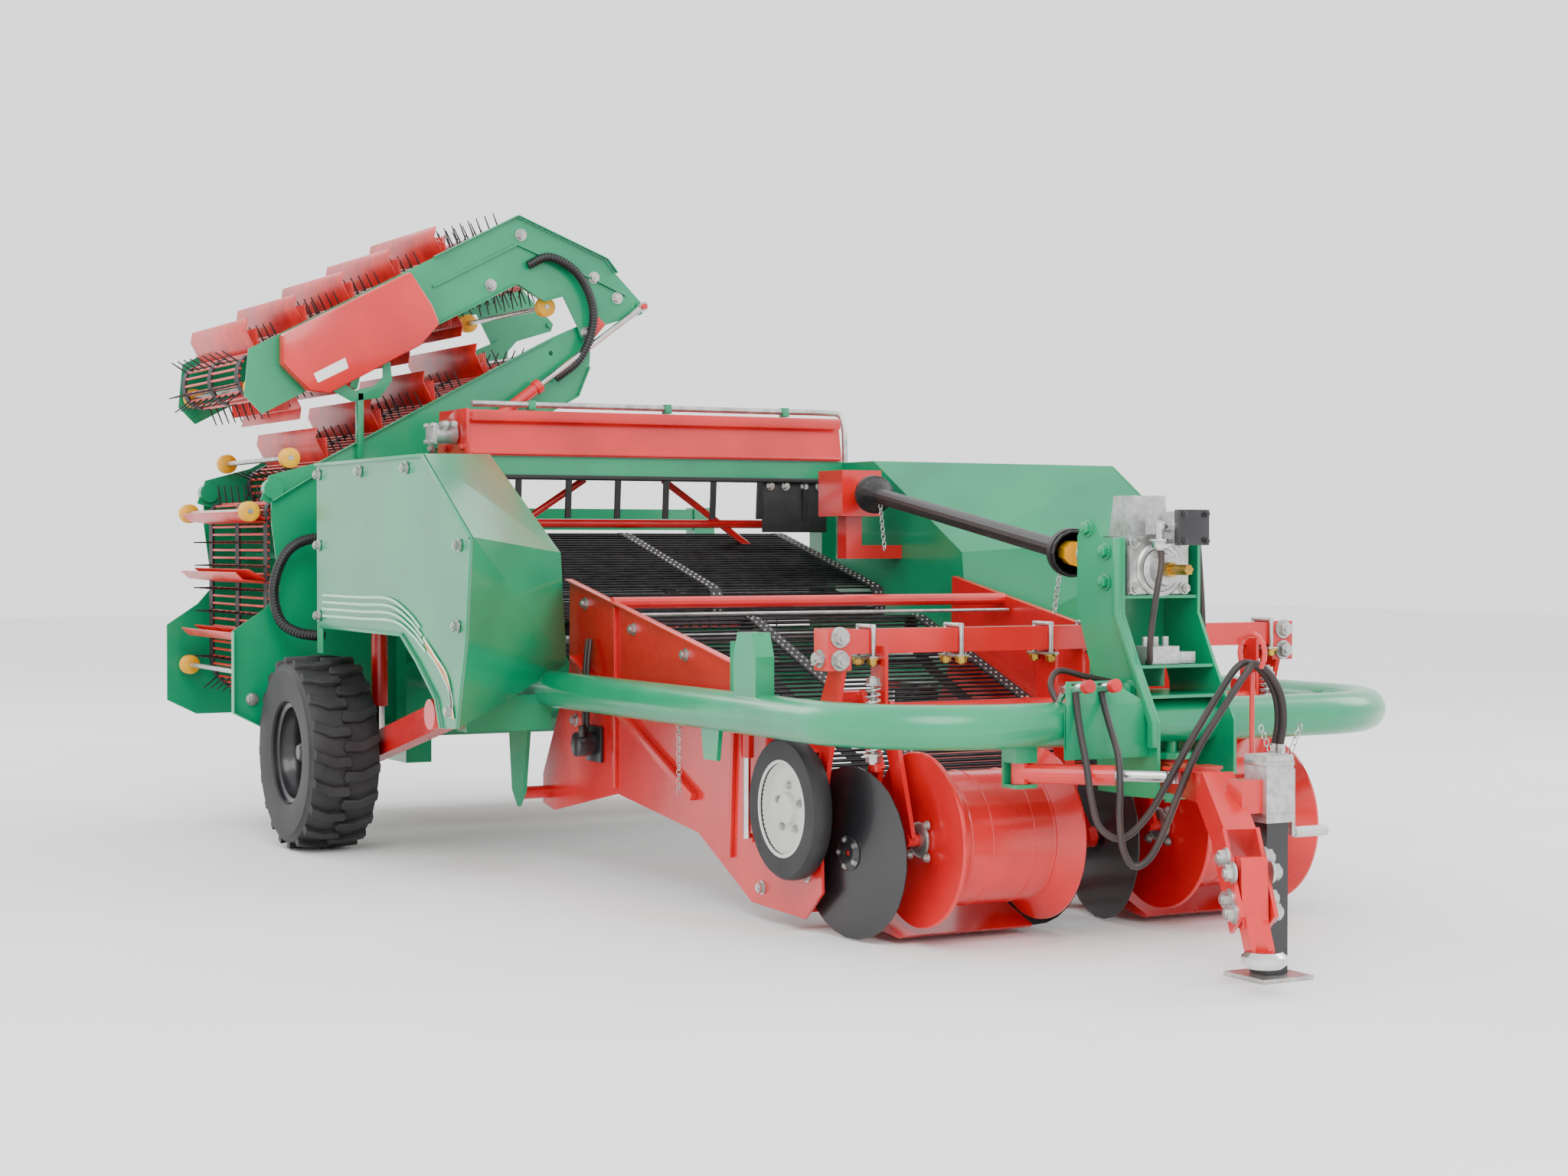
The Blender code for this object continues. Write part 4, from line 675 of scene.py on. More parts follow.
lower_top = [(-1.15, 0.90), (-1.15, 1.62), (-1.46, 1.62), (-1.66, 1.50)]
lower_edge = [(-1.84, 0.92), (-1.84, 0.56), (-1.70, 0.49), (-1.12, 0.49)]
weld(flange(lower_top, near_plate, -0.030) + flange(lower_edge, near_plate, -0.030)
    + flange([(1.08, 0.49), (1.08, 0.90), (-1.15, 0.90)], near_plate, -0.030))
settle("lower_plate_flanges", green_enamel, "root", bevel=0.0015)
inner_edge = [(-1.34, 1.36), (-0.17, 2.00), (-0.11, 2.14)]
inner_back = [(-0.31, 2.27), (-1.44, 1.67)]
weld(flange(inner_edge, 0.470, -0.018) + flange(inner_back, 0.470, -0.018)
    + flange([(-1.26, 1.53), (-0.40, 2.01)], 0.470, -0.012))
settle("inner_arm_flanges", green_enamel, "inner_arm", bevel=0.0015)
outer_top = [(-0.90, 2.611), (-0.49, 2.824), (-0.04, 2.648), (0.011, 2.586)]
outer_low = [(-0.26, 2.470), (-0.36, 2.440), (-0.497, 2.514), (-0.93, 2.286)]
crease = [(-0.90, 2.475), (-0.49, 2.690), (-0.06, 2.530), (0.06, 2.480)]
weld(flange(outer_top, near_plate, -0.028) + flange(outer_low, near_plate, -0.034)
    + flange(crease, near_plate, -0.014, 0.010))
settle("outer_arm_flanges", green_enamel, "outer_arm", bevel=0.0015)
plate_bolts = {"root": [(-1.40, 0.74), (0.86, 0.74), (-1.30, 1.45), (-1.22, 1.10), (-1.75, 0.62),
    (-0.90, 0.84), (0.10, 0.84)], "inner_arm": [(-1.16, 1.60), (-0.90, 1.74),
    (-0.62, 1.89)], "outer_arm": [(-0.47, 2.74), (-0.62, 2.50), (-0.10, 2.56), (0.02, 2.47), (-0.14, 2.30)],}
for body, spots in plate_bolts.items():
    face = 0.470 if body == "inner_arm" else near_plate
    weld(bolts([(x, face, z) for x, z in spots], (0, -1, 0), 0.022 if body == "inner_arm" else 0.030))
    settle("plate_bolts_" + body, zinc_plate, body)
rollers = {"root": [(-1.745, 1.45), (-1.745, 0.73)], "inner_arm": [(-1.560, 1.690), (-0.307, 2.200)],
    "outer_arm": [(-0.325, 2.416), (-1.72, 2.00)]}
wheel = [(0.012, -0.026), (0.034, -0.026), (0.045, -0.020), (0.045, -0.012), (0.036, -0.006),
    (0.036, 0.006), (0.045, 0.012), (0.045, 0.020), (0.034, 0.026), (0.012, 0.026), (0.012, -0.026)]
for body, spots in rollers.items():
    made = [turned(wheel, (x, y, z), (0, 1, 0), 28) for x, z in spots for y in (0.498, 1.490)]
    weld(made)
    settle("guide_rollers_" + body, yellow_nylon, body)
    weld([round_stock((x, 0.470, z), (x, 1.518, z), 0.0115, 14) for x, z in spots])
    settle("guide_axles_" + body, zinc_plate, body)


# The belt drive sits under a folded red cover on the outer arm, and a green cradle on the inner arm takes
# the weight of the folded arm. The cradle is cut plate.
red_enamel = surface("red_enamel", "#d8181c", "#c01217", 80.0, 0.28, bump_mm=0.2, coat=0.4)
dress(red_enamel, "transfer_gearbox", "hood", "drawbar", "tow_eye", "steering_barrel", "intake_frame",
    "toolbar", "lift_barrel_left", "roller_frame", "disc_arm_left", "disc_arm_right", "disc_arm_centre",
    "wheel_arm_left", "wheel_arm_right", "level_barrel_left", "level_barrel_right", "fold_barrel")
cover = [(-1.035, 2.535), (-0.93, 2.388), (-0.895, 2.305), (-0.985, 2.205), (-1.415, 1.975),
    (-1.505, 1.985), (-1.625, 2.10), (-1.625, 2.230)]
weld([cut_plate(cover, "Y", near_plate - 0.079, near_plate - 0.001)])
settle("drive_cover", red_enamel, "outer_arm", bevel=0.010)
weld([cut_plate([(-1.47, 2.02), (-1.33, 2.09), (-1.345, 2.135), (-1.49, 2.06)], "Y", 0.3595, 0.3612)])
settle("cover_plate", surface("printed_vinyl", "#f4f2ee", "#e8e4dc", 60.0, 0.5), "outer_arm")
cradle = []
cradle.append(cut_plate([(-1.42, 2.01), (-1.29, 1.945), (-1.16, 1.965), (-1.10, 2.045), (-1.12, 2.245),
    (-1.145, 2.245), (-1.145, 2.06), (-1.185, 2.02), (-1.275, 1.995), (-1.345, 2.035),
    (-1.375, 2.06)], "Y", near_plate - 0.010, near_plate - 0.002))
cradle.append(cut_plate([(-1.30, 2.01), (-1.265, 2.00), (-1.215, 2.21), (-1.250, 2.21)], "Y",
    near_plate - 0.010, near_plate - 0.002))
cradle.append(cut_plate([(-1.262, 1.69), (-1.235, 1.70), (-1.235, 1.985), (-1.262, 1.985)], "Y",
    near_plate - 0.010, near_plate + 0.030))
weld(cradle)
settle("arm_cradle", green_enamel, "inner_arm", bevel=0.002)


# The fold cylinder: a red enamelled barrel with a gland nut, and the hoses to the outer arm in black
# corrugated guards that loop over the elbow.
corrugated = surface("corrugated_guard", "#201f21", "#131314", 20.0, 0.45, bump_mm=0.2)
base, tip = Vector((-1.018, 0.410, 1.582)), Vector((0.139, 0.410, 2.432))
along = (tip - base).normalized()
gland = [(0.0165, 0.0), (0.031, 0.0), (0.034, 0.004), (0.034, 0.030), (0.031, 0.034), (0.0165, 0.034),
    (0.0165, 0.0)]
weld([turned(gland, base + along * 0.750, along, 32),
    turned([(r + 0.0125, d * 0.4) for r, d in gland], base + along * 0.06, along, 32)])
settle("fold_gland", red_enamel, "inner_arm")
weld([flat_stock((-0.115, 0.438, 2.30), (-0.06, 0.438, 2.36), 0.006, 0.050),
    round_stock((0.139, 0.380, 2.432), (0.139, 0.4395, 2.432), 0.014, 16)])
settle("fold_link", red_enamel, "outer_arm", bevel=0.001)


def guard(name, route, radius, body):
    """A corrugated sleeve over hoses: rings at an even pitch along a smooth curve."""
    places, _ = smooth_line(route, 120)
    sleeve = []
    for a, b in zip(places[::2], places[1::2]):
        sleeve.append(round_stock(a, b + (b - a) * 0.15, radius, 14))
    line, _, _ = hose(name + "_core", route, radius * 0.86, corrugated, 60)
    choose(line)
    bpy.ops.object.convert(target="MESH")
    weld([bpy.context.object] + sleeve)
    settle(name, corrugated, body, bevel=0.0008)


guard("elbow_guard", [(-0.44, 0.424, 2.60), (-0.34, 0.400, 2.640), (-0.21, 0.392, 2.575),
    (-0.13, 0.395, 2.44), (-0.13, 0.400, 2.30), (-0.19, 0.410, 2.17), (-0.30, 0.428, 2.08)], 0.021, None)
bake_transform(bpy.data.objects["elbow_guard"])
guard("rear_guard", [(-1.33, 0.30, 1.30), (-1.50, 0.33, 1.33), (-1.62, 0.34, 1.27), (-1.68, 0.34, 1.12),
    (-1.66, 0.33, 0.98), (-1.60, 0.28, 0.92), (-1.50, 0.20, 0.90)], 0.024, "root")


# The remaining finishes: bare zinc and ground rods, black enamelled discs, the brass coloured splined stub
# and the moulded guard of the drive shaft.
brass_metal = surface("brass_metal", "#c8a24a", "#a8843a", 10.0, 0.30, metallic=1.0, bump_mm=0.05)
black_plastic = surface("black_plastic", "#1d1c1e", "#131214", 20.0, 0.48, bump_mm=0.3)
cast_zinc = surface("cast_zinc", "#c4c5c3", "#a9aaa8", 6.0, 0.42, metallic=0.7, bump_mm=0.25)
dress(black_enamel, "disc_outer_left", "disc_outer_right", "disc_inner_left", "disc_inner_right",
    "jack_tube", "haulm_wheel_left", "haulm_wheel_right")
dress(finger_rubber, "finger_curtain")
dress(cast_zinc, "input_gearbox", "hydraulic_pump", "jack_head")
dress(zinc_plate, "jack_leg", "jack_crank")
dress(bright_steel, "steering_rod", "lift_rod_left", "level_rod_left", "level_rod_right", "fold_rod")
dress(brass_metal, "input_stub")
dress(black_plastic, "shaft_guard")
dress(yellow_nylon, "drive_shaft")


# The universal drive shaft has a ribbed black bell over each joint, and a thin
# chain that keeps the guard from turning.
front, rear = Vector((0.0, -3.370, 1.270)), Vector((0.700, -0.780, 1.530))
line = (rear - front).normalized()
bell = [(0.034, 0.150), (0.034, 0.118), (0.052, 0.100), (0.060, 0.070), (0.066, 0.066), (0.066, 0.058),
    (0.073, 0.054), (0.073, 0.044), (0.079, 0.040), (0.079, 0.028), (0.084, 0.024), (0.084, -0.010),
    (0.080, -0.010), (0.078, 0.022), (0.056, 0.062), (0.030, 0.110), (0.030, 0.150), (0.034, 0.150)]
for name, start, way in (("front", front, line), ("rear", rear, -line)):
    weld([turned(bell, start + way * 0.045, way, 40)])
    settle("shaft_bell_" + name, black_plastic, "root")


def chain(name, places, body):
    """A hanging chain: oval steel links, each turned a quarter from the one before."""
    links = []
    for step, spot in enumerate(places):
        bpy.ops.mesh.primitive_torus_add(major_radius=0.009, minor_radius=0.0018, major_segments=12,
            minor_segments=6)
        link = bpy.context.object
        turn = Matrix.Rotation(math.radians(90 * (step % 2)), 4, "Z")
        turn = turn @ Matrix.Rotation(math.radians(90), 4, "X")
        link.data.transform(Matrix.Translation(CENTRE + spot) @ turn @ Matrix.Diagonal((1.0, 1.3, 1.0, 1.0)))
        links.append(link)
    weld(links)
    settle(name, zinc_plate, body)


for name, start, way in (("front", front, line), ("rear", rear, -line)):
    places = [start + way * (0.16 + 0.006 * step) - Vector((0, 0, 0.045
        + 0.016 * step)) for step in range(12)]
    chain("shaft_chain_" + name, places, "root")


# The front tower carries a zinc bearing plate round the splined stub, a folded flange along its front edge,
# two couplers with red caps on a side plate, and the pump with its end cap and steel elbows.
rings = [(0.072, 0.0), (0.092, 0.0), (0.092, 0.010), (0.086, 0.016), (0.072, 0.016), (0.072, 0.0)]
weld([turned(rings, (0.0, -3.8305, 1.221), (0, -1, 0), 48),
    bar_stock((-0.118, -3.837, 1.142), (0.118, -3.8305, 1.328))] + bolts([(dx, -3.837, 1.235
    + dz) for dx in (-0.100, 0.100) for dz in (-0.075, 0.075)], (0, -1, 0), 0.022))
settle("bearing_plate", zinc_plate, "root", bevel=0.001)
weld([bar_stock((-0.048, -4.012, 1.300), (0.068, -3.9805, 1.414))]
    + bolts([(dx, -4.012, dz) for dx in (-0.034, 0.054) for dz in (1.314, 1.400)], (0, -1, 0), 0.014))
settle("pump_end_cap", black_enamel, "root", bevel=0.004)
elbows = [round_stock((-0.040, -3.940, 1.360), (-0.080, -3.940, 1.360), 0.018, 20),
    round_stock((-0.074, -3.940, 1.368), (-0.074, -3.940, 1.300), 0.014, 20),
    round_stock((0.060, -3.940, 1.360), (0.104, -3.940, 1.360), 0.020, 20),
    round_stock((0.098, -3.948, 1.360), (0.098, -3.880, 1.360), 0.016, 20)]
weld(elbows + bolts([(-0.074, -3.940, 1.318)], (0, 0, -1), 0.036)
    + bolts([(0.098, -3.895, 1.360)], (0, 1, 0), 0.040))
settle("pump_elbows", bright_steel, "root", bevel=0.001)
weld([cut_plate([(-4.04, 0.66), (-4.01, 0.66), (-4.01, 0.74), (-3.90, 0.93), (-3.82, 1.08), (-3.82, 1.325),
    (-3.85, 1.325), (-3.85, 1.08), (-3.93, 0.93), (-4.04, 0.74)], "X", -0.176, -0.157)] + bolts([(-0.157,
    -3.660, 1.355), (-0.157, -3.76, 1.28), (-0.157, -3.76, 1.18), (-0.157, -3.90, 0.84)], (-1, 0, 0), 0.030))
settle("tower_flange", green_enamel, "root", bevel=0.002)
couplers = []
for x in (-0.44, -0.34):
    couplers += [round_stock((x, -3.985, 0.850), (x, -4.060, 0.862), 0.015, 20),
        round_stock((x, -3.985, 0.850), (x, -3.940, 0.845), 0.019, 6),
        round_stock((x, -3.940, 0.845), (x, -3.900, 0.800), 0.011, 14)]
weld(couplers)
settle("couplers", bright_steel, "root", bevel=0.0006)
weld([cut_plate([(-0.470, 0.66), (-0.160, 0.66), (-0.160, 0.80), (-0.30, 0.875), (-0.470, 0.875)], "Y",
    -3.990, -3.984)])
settle("coupler_plate", green_enamel, "root", bevel=0.001)
weld([round_stock((x, -4.050, 0.860), (x, -4.078, 0.865), 0.021, 24) for x in (-0.44, -0.34)])
settle("coupler_caps", surface("red_caps", "#c81820", "#a51218", 20.0, 0.45), "root",
    bevel=0.002)
weld([bar_stock((-0.10, -3.92, 0.917), (0.02, -3.82, 0.975)),
    bar_stock((0.03, -3.90, 0.917), (0.10, -3.82, 0.955))] + [round_stock((x, -3.87, 0.97),
    (x, -3.87, 1.005), 0.011, 16) for x in (-0.08, -0.04, 0.0)])
settle("valve_block", cast_zinc, "root", bevel=0.002)
for name, route in (("pump_hose_left", [(-0.074, -3.94, 1.305), (-0.076, -3.95, 1.24),
        (-0.105, -3.96, 1.13), (-0.118, -3.95, 1.00), (-0.105, -3.93, 0.93),
        (-0.09, -3.90, 0.925)]), ("pump_hose_right", [(0.098, -3.880, 1.36), (0.10, -3.84, 1.37),
        (0.135, -3.80, 1.39), (0.178, -3.80, 1.34), (0.180, -3.82, 1.20), (0.176, -3.84, 1.00),
        (0.178, -3.82, 0.86)]), ("coupler_hose_left", [(-0.44, -3.90, 0.80), (-0.44, -3.86, 0.86),
        (-0.38, -3.82, 0.90), (-0.28, -3.82, 0.88),
        (-0.18, -3.82, 0.86)]), ("coupler_hose_right", [(-0.34, -3.90, 0.80), (-0.34, -3.85, 0.84),
        (-0.28, -3.80, 0.85), (-0.18, -3.79, 0.84)])):
    pipe, _, _ = hose(name, route, 0.010, hose_rubber, 40)
    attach(pipe, "root")


# The hood over the rear web has a lighter strip along its top edge, an end bracket and a hydraulic motor at
# the left, and a galvanised pipe in clamps along the top that turns down at the right.
weld([bar_stock((-0.925, -0.111, 1.846), (0.925, -0.1055, 1.895)),
    bar_stock((-0.925, -0.111, 1.700), (0.925, -0.1055, 1.712))])
settle("hood_strip", red_enamel, "root", bevel=0.002)
pipe, _, _ = hose("hood_pipe", [(-0.90, -0.04, 1.925), (-0.5, -0.04, 1.925), (0.0, -0.04, 1.925),
    (0.60, -0.04, 1.925), (0.89, -0.04, 1.925), (0.955, -0.05, 1.915), (0.965, -0.07, 1.86),
    (0.965, -0.08, 1.78), (0.965, -0.08, 1.62)], 0.014, zinc_plate, 80, 6)
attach(pipe, "root")
weld([bar_stock((x - 0.016, -0.062, 1.9005), (x + 0.016, -0.018, 1.943)) for x in (-0.62, 0.05, 0.66)])
settle("pipe_clamps", green_enamel, "root", bevel=0.002)
weld([round_stock((-0.955, 0.02, 1.79), (-1.060, 0.02, 1.79), 0.045, 32),
    bar_stock((-1.075, -0.030, 1.745), (-1.058, 0.070, 1.835)),
    round_stock((-0.995, -0.02, 1.83), (-0.995, -0.08, 1.83), 0.014, 18),
    round_stock((-1.035, -0.02, 1.83), (-1.035, -0.08, 1.83), 0.014,
    18)] + bolts([(-1.075, -0.02 + 0.08 * i, 1.755 + 0.07 * j) for i in (0, 1) for j in (0, 1)], (-1, 0,
    0), 0.014))
settle("hood_motor", cast_zinc, "root", bevel=0.002)
weld([cut_plate([(-0.105, 1.70), (0.16, 1.70), (0.16, 1.86), (0.02, 1.90), (-0.105, 1.90)], "X", -0.950,
    -0.937)] + bolts([(-0.950, -0.07, 1.73), (-0.950, 0.13, 1.73), (-0.950, 0.13, 1.83)], (-1, 0, 0), 0.022))
settle("hood_bracket", red_enamel, "root", bevel=0.002)
weld([cut_plate([(0.50, 1.36), (0.84, 1.36), (0.84, 1.60), (0.50, 1.60)], "Y", -0.128, -0.118)])
settle("rubber_flap", belt_rubber, "curtain", bevel=0.002)
weld(bolts([(x, -0.128, 1.575) for x in (0.54, 0.62, 0.72, 0.80)], (0, -1, 0), 0.022))
settle("flap_bolts", zinc_plate, "curtain")
weld([round_stock((-0.86, 0.18, 1.22), (-0.30, 0.10, 1.60), 0.016, 18),
    round_stock((0.10, 0.10, 1.60), (0.70, 0.18, 1.22), 0.016, 18),
    round_stock((-0.90, 0.14, 1.40), (0.90, 0.14, 1.40), 0.020, 20)])
settle("crop_guides", red_enamel, "root")


# Both side covers are folded sheet: the front edge and the sloping top edge carry a narrow fold, bolts hold
# the panels, and thin cut vinyl bands in pale green run forward and follow the wheel arch down.
vinyl_mint = surface("vinyl_mint", "#a6dcc0", "#9ad2b5", 60.0, 0.40)
vinyl_cream = surface("vinyl_cream", "#f0e9d6", "#e5dcc4", 60.0, 0.40)
vinyl_orange = surface("vinyl_orange", "#e8862a", "#dc7a20", 60.0, 0.40)


def ribbon(route, width, low, high):
    """A flat band of even width that follows a smooth line on a side panel."""
    places, _ = smooth_line([(0, y, z) for y, z in route], 60)
    left, right = [], []
    for before, spot, after in zip([places[0]] + places[:-1], places, places[1:] + [places[-1]]):
        way = (after - before).normalized()
        left.append((spot.y - way.z * width / 2, spot.z + way.y * width / 2))
        right.append((spot.y + way.z * width / 2, spot.z - way.y * width / 2))
    return cut_plate(left + right[::-1], "X", low, high)


for word, side in (("left", -1), ("right", 1)):
    skin = sorted((side * 1.6053, side * 1.6068))
    fold = sorted((side * 1.605, side * 1.617))
    pale, cream, warm = [], [], []
    for row in range(4):
        z = 1.088 - 0.029 * row
        y = -1.05 - 0.018 * row
        pale.append(ribbon([(-0.11, z), (-0.60, z), (y + 0.10, z), (y - 0.12, z - 0.05),
            (-1.30 - 0.02 * row, 0.985 - 0.03 * row)], 0.011, *skin))
    for row in range(3):
        z, y = 0.945 - 0.024 * row, -1.34 - 0.022 * row
        group = (cream, warm, pale)[row]
        group.append(ribbon([(y, z), (y - 0.12, z - 0.06), (-1.60 - 0.014 * row, 0.80 - 0.03 * row),
            (-1.66 + 0.012 * row, 0.655)], 0.010, *skin))
    for label, made, finish in (("mint", pale, vinyl_mint), ("cream", cream, vinyl_cream),
            ("orange", warm, vinyl_orange)):
        weld(made)
        settle(f"band_{label}_{word}", finish, "root")
    edges = [[(-0.02, 1.650), (-1.34, 1.650), (-1.34, 1.636), (-0.02, 1.636)],
        [(-1.34, 1.650), (-1.85, 1.330), (-1.842, 1.317), (-1.333, 1.636)],
        [(-1.850, 1.330), (-1.800, 0.950), (-1.786, 0.952), (-1.835, 1.330)],
        [(-1.800, 0.950), (-1.700, 0.620), (-1.687, 0.625), (-1.786, 0.953)],
        [(-0.096, 0.948), (-1.09, 0.944), (-1.09, 0.957), (-0.096, 0.961)],
        [(-1.09, 0.944), (-1.27, 0.847), (-1.47, 0.716), (-1.52, 0.61), (-1.535, 0.614), (-1.483, 0.724),
        (-1.277, 0.859), (-1.094, 0.957)]]
    weld([cut_plate(edge, "X", *sorted((side * 1.6045, side * 1.6125))) for edge in edges])
    settle("cover_folds_" + word, green_enamel, "root", bevel=0.0015)
    spots = [(-0.06, 1.60), (-0.06, 1.30), (-0.06, 1.00), (-0.60, 1.60), (-1.15, 1.60), (-1.72, 1.30),
        (-1.70, 1.00), (-1.62, 0.68)]
    weld(bolts([(side * 1.6055, y, z) for y, z in spots], (side, 0, 0), 0.026))
    settle("cover_bolts_" + word, zinc_plate, "root")


# The toolbar is held to its brackets with zinc U-bolts: a bow over the bar, a clamp strip under it and
# yellow passivated nuts. Larger bolts close the end plates.
bows, nuts = [], []
for x in (-0.79, -0.45, -0.09, 0.09, 0.45, 0.86):
    bows += [round_stock((x, -3.355, 1.033), (x, -3.245, 1.033), 0.008, 12),
        bar_stock((x - 0.022, -3.365, 0.928), (x + 0.022, -3.235, 0.936))]
    bows += [round_stock((x, y, 0.905), (x, y, 1.040), 0.008, 12) for y in (-3.349, -3.251)]
    nuts += bolts([(x, y, 0.928) for y in (-3.349, -3.251)], (0, 0, -1), 0.026)
weld(bows)
settle("bar_bows", zinc_plate, "intake", bevel=0.0008)
weld(nuts)
settle("bar_nuts", brass_metal, "intake")
weld(bolts([(x, -3.3455, z) for x in (-0.915, 0.915) for z in (0.925, 1.000)], (0, -1, 0), 0.036)
    + bolts([(side * 0.9605, -3.30, 0.930) for side in (-1, 1)], (-1, 0, 0), 0.032))
settle("bar_end_bolts", zinc_plate, "intake")


# The red intake sides have a folded top edge, a channel brace and bolt heads. A black hydraulic motor drives
# the rod web at the left, and a thin galvanised rod runs beside the cross tube.
for word, side in (("left", -1), ("right", 1)):
    outer = side * 0.910
    lip = sorted((outer, outer + side * 0.022))
    top = [(-1.14, 1.165), (-2.60, 0.890), (-3.20, 0.620)]
    made = []
    for (y0, z0), (y1, z1) in zip(top, top[1:]):
        made.append(cut_plate([(y0, z0), (y1, z1), (y1, z1 - 0.006), (y0, z0 - 0.006)], "X", *lip))
    rib = sorted((outer, outer + side * 0.028))
    made.append(cut_plate([(-1.20, 0.86), (-2.30, 0.40), (-2.285, 0.375), (-1.19, 0.83)], "X", *rib))
    made.append(cut_plate([(-2.62, 0.86), (-2.60, 0.86), (-2.56, 0.20), (-2.58, 0.20)], "X",
        *sorted((outer, outer + side * 0.014))))
    made.append(cut_plate([(-1.60, 1.06), (-1.58, 1.06), (-1.58, 0.36), (-1.60, 0.36)], "X",
        *sorted((outer, outer + side * 0.014))))
    weld(made)
    settle("intake_folds_" + word, red_enamel, "intake", bevel=0.0015)
    spots = [(-1.30, 1.07), (-1.75, 0.98), (-2.20, 0.90), (-2.85, 0.70), (-3.08, 0.55), (-3.12, 0.20),
        (-2.80, 0.12), (-1.20, 0.60)]
    weld(bolts([(outer, y, z) for y, z in spots], (side, 0, 0), 0.026))
    settle("intake_bolts_" + word, zinc_plate, "intake")
weld([round_stock((-0.912, -1.40, 0.520), (-1.00, -1.40, 0.520), 0.048, 32),
    bar_stock((-0.925, -1.47, 0.45), (-0.912, -1.33, 0.59)),
    round_stock((-0.96, -1.40, 0.56), (-0.96, -1.40, 0.595), 0.014, 16),
    round_stock((-0.985, -1.43, 0.55), (-0.985, -1.43, 0.595), 0.014, 16)])
settle("web_motor", black_enamel, "intake", bevel=0.002)
weld([round_stock((-0.89, -1.60, 1.030), (0.89, -1.60, 1.030), 0.007, 12)])
settle("tie_rod", zinc_plate, "intake")


# The bent frame tube is drawn steel under green enamel: a seamless round skin over the frame's own legs and
# front bar, with zinc end bolts where the slotted left bracket is clamped to it.
corner_x, corner_y, bend = 1.060 - 0.450, -3.900 + 0.450, 0.450
run = [(-1.060, 0.200 - 0.365 * step, 0.735) for step in range(10)]
run += [(-corner_x - bend * math.cos(math.radians(a)), corner_y - bend * math.sin(math.radians(a)),
    0.735) for a in range(0, 91, 6)]
run += [(-corner_x + 0.1 * step, -3.900, 0.735) for step in range(1, 7)]
run += [(-x, y, z) for x, y, z in run[::-1]]
pipe, _, _ = hose("frame_skin", run, 0.0708, green_enamel, 420, 12)
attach(pipe, "root")
weld([cut_plate([(-3.075, 0.80), (-2.965, 0.80), (-2.965, 1.01), (-2.995, 1.01), (-2.995, 0.94),
    (-3.045, 0.94), (-3.045, 1.01), (-3.075, 1.01)], "X", -1.066, -1.054)] + bolts([(-1.066, y,
    0.85) for y in (-3.05, -2.99)], (-1, 0, 0), 0.030))
settle("leg_bracket", green_enamel, "root", bevel=0.001)


# The ridge rollers are rolled sheet drums: a waisted barrel between two dished flanges, with a weld bead at
# each joint and a bolted bearing cap in each end.
for word, side in (("left", -1), ("right", 1)):
    w = 0.235
    drum = [(0.0205, -w + 0.010), (0.110, -w + 0.030), (0.282, -w), (0.286, -w + 0.004),
        (0.286, -w + 0.012), (0.2215, -w + 0.073), (0.223, -w + 0.077), (0.219, -w + 0.082),
        (0.219, w - 0.082), (0.223, w - 0.077), (0.2215, w - 0.073), (0.286, w - 0.012), (0.286, w - 0.004),
        (0.282, w), (0.110, w - 0.030), (0.0205, w - 0.010), (0.0205, -w + 0.010)]
    centre = (side * 0.480, -3.500, 0.345)
    weld([turned(drum, centre, (1, 0, 0), 96)])
    settle("rolled_drum_" + word, red_enamel, "roller_"
        + word, replaced=("ridge_roller_" + word,))
    seams = []
    for x in (-0.080, 0.080):
        seams.append(turned([(0.218, x - 0.004), (0.2215, x), (0.218, x + 0.004), (0.216, x),
            (0.218, x - 0.004)], centre, (1, 0, 0), 72))
    weld(seams)
    settle("drum_seams_" + word, red_enamel, "roller_" + word)
    caps = []
    for end in (-1, 1):
        spot = (centre[0] + end * (w - 0.014), centre[1], centre[2])
        caps.append(turned([(0.0215, 0.0), (0.058, 0.0), (0.058, 0.008), (0.046, 0.014), (0.0215, 0.014),
            (0.0215, 0.0)], spot, (end, 0, 0), 40))
        for step in range(4):
            turn = math.radians(45 + 90 * step)
            caps += bolts([(spot[0] + end * 0.006, spot[1] + 0.074 * math.cos(turn), spot[2]
                + 0.074 * math.sin(turn))], (end, 0, 0), 0.017)
    weld(caps)
    settle("drum_caps_" + word, zinc_plate, "roller_" + word, bevel=0.0006)


# The coulter discs are dished black steel with a bolted hub; each outer arm has a zinc spring rod with a
# coil that presses it down, on a red seat welded to the arm.
for word, x, side in (("outer_left", -0.840, -1), ("outer_right", 0.840, 1), ("inner_left", -0.150, -1),
        ("inner_right", 0.150, 1)):
    yaw = math.radians(8.0)
    axis = Vector((math.cos(yaw) * side, -math.sin(yaw), 0))
    node = bpy.data.objects["disc_" + word]
    spots = [Vector(c) for c in node.bound_box]
    middle = sum(spots, Vector()) / 8
    hub = node.matrix_world @ middle - CENTRE
    weld([turned([(0.0130, 0.010), (0.058, 0.010), (0.058, 0.018), (0.040, 0.024), (0.0130, 0.024),
        (0.0130, 0.010)], hub, axis, 40)])
    settle("disc_hub_" + word, black_enamel, "disc_" + word, bevel=0.0006)
    ring = []
    across = axis.cross(Vector((0, 0, 1))).normalized()
    for step in range(5):
        turn = math.radians(72 * step)
        spot = hub + axis * 0.018 + across * (0.045 * math.cos(turn)) + Vector((0, 0,
            0.045 * math.sin(turn)))
        ring += bolts([tuple(spot)], tuple(axis), 0.013)
    weld(ring)
    settle("hub_bolts_" + word, zinc_plate, "disc_" + word)
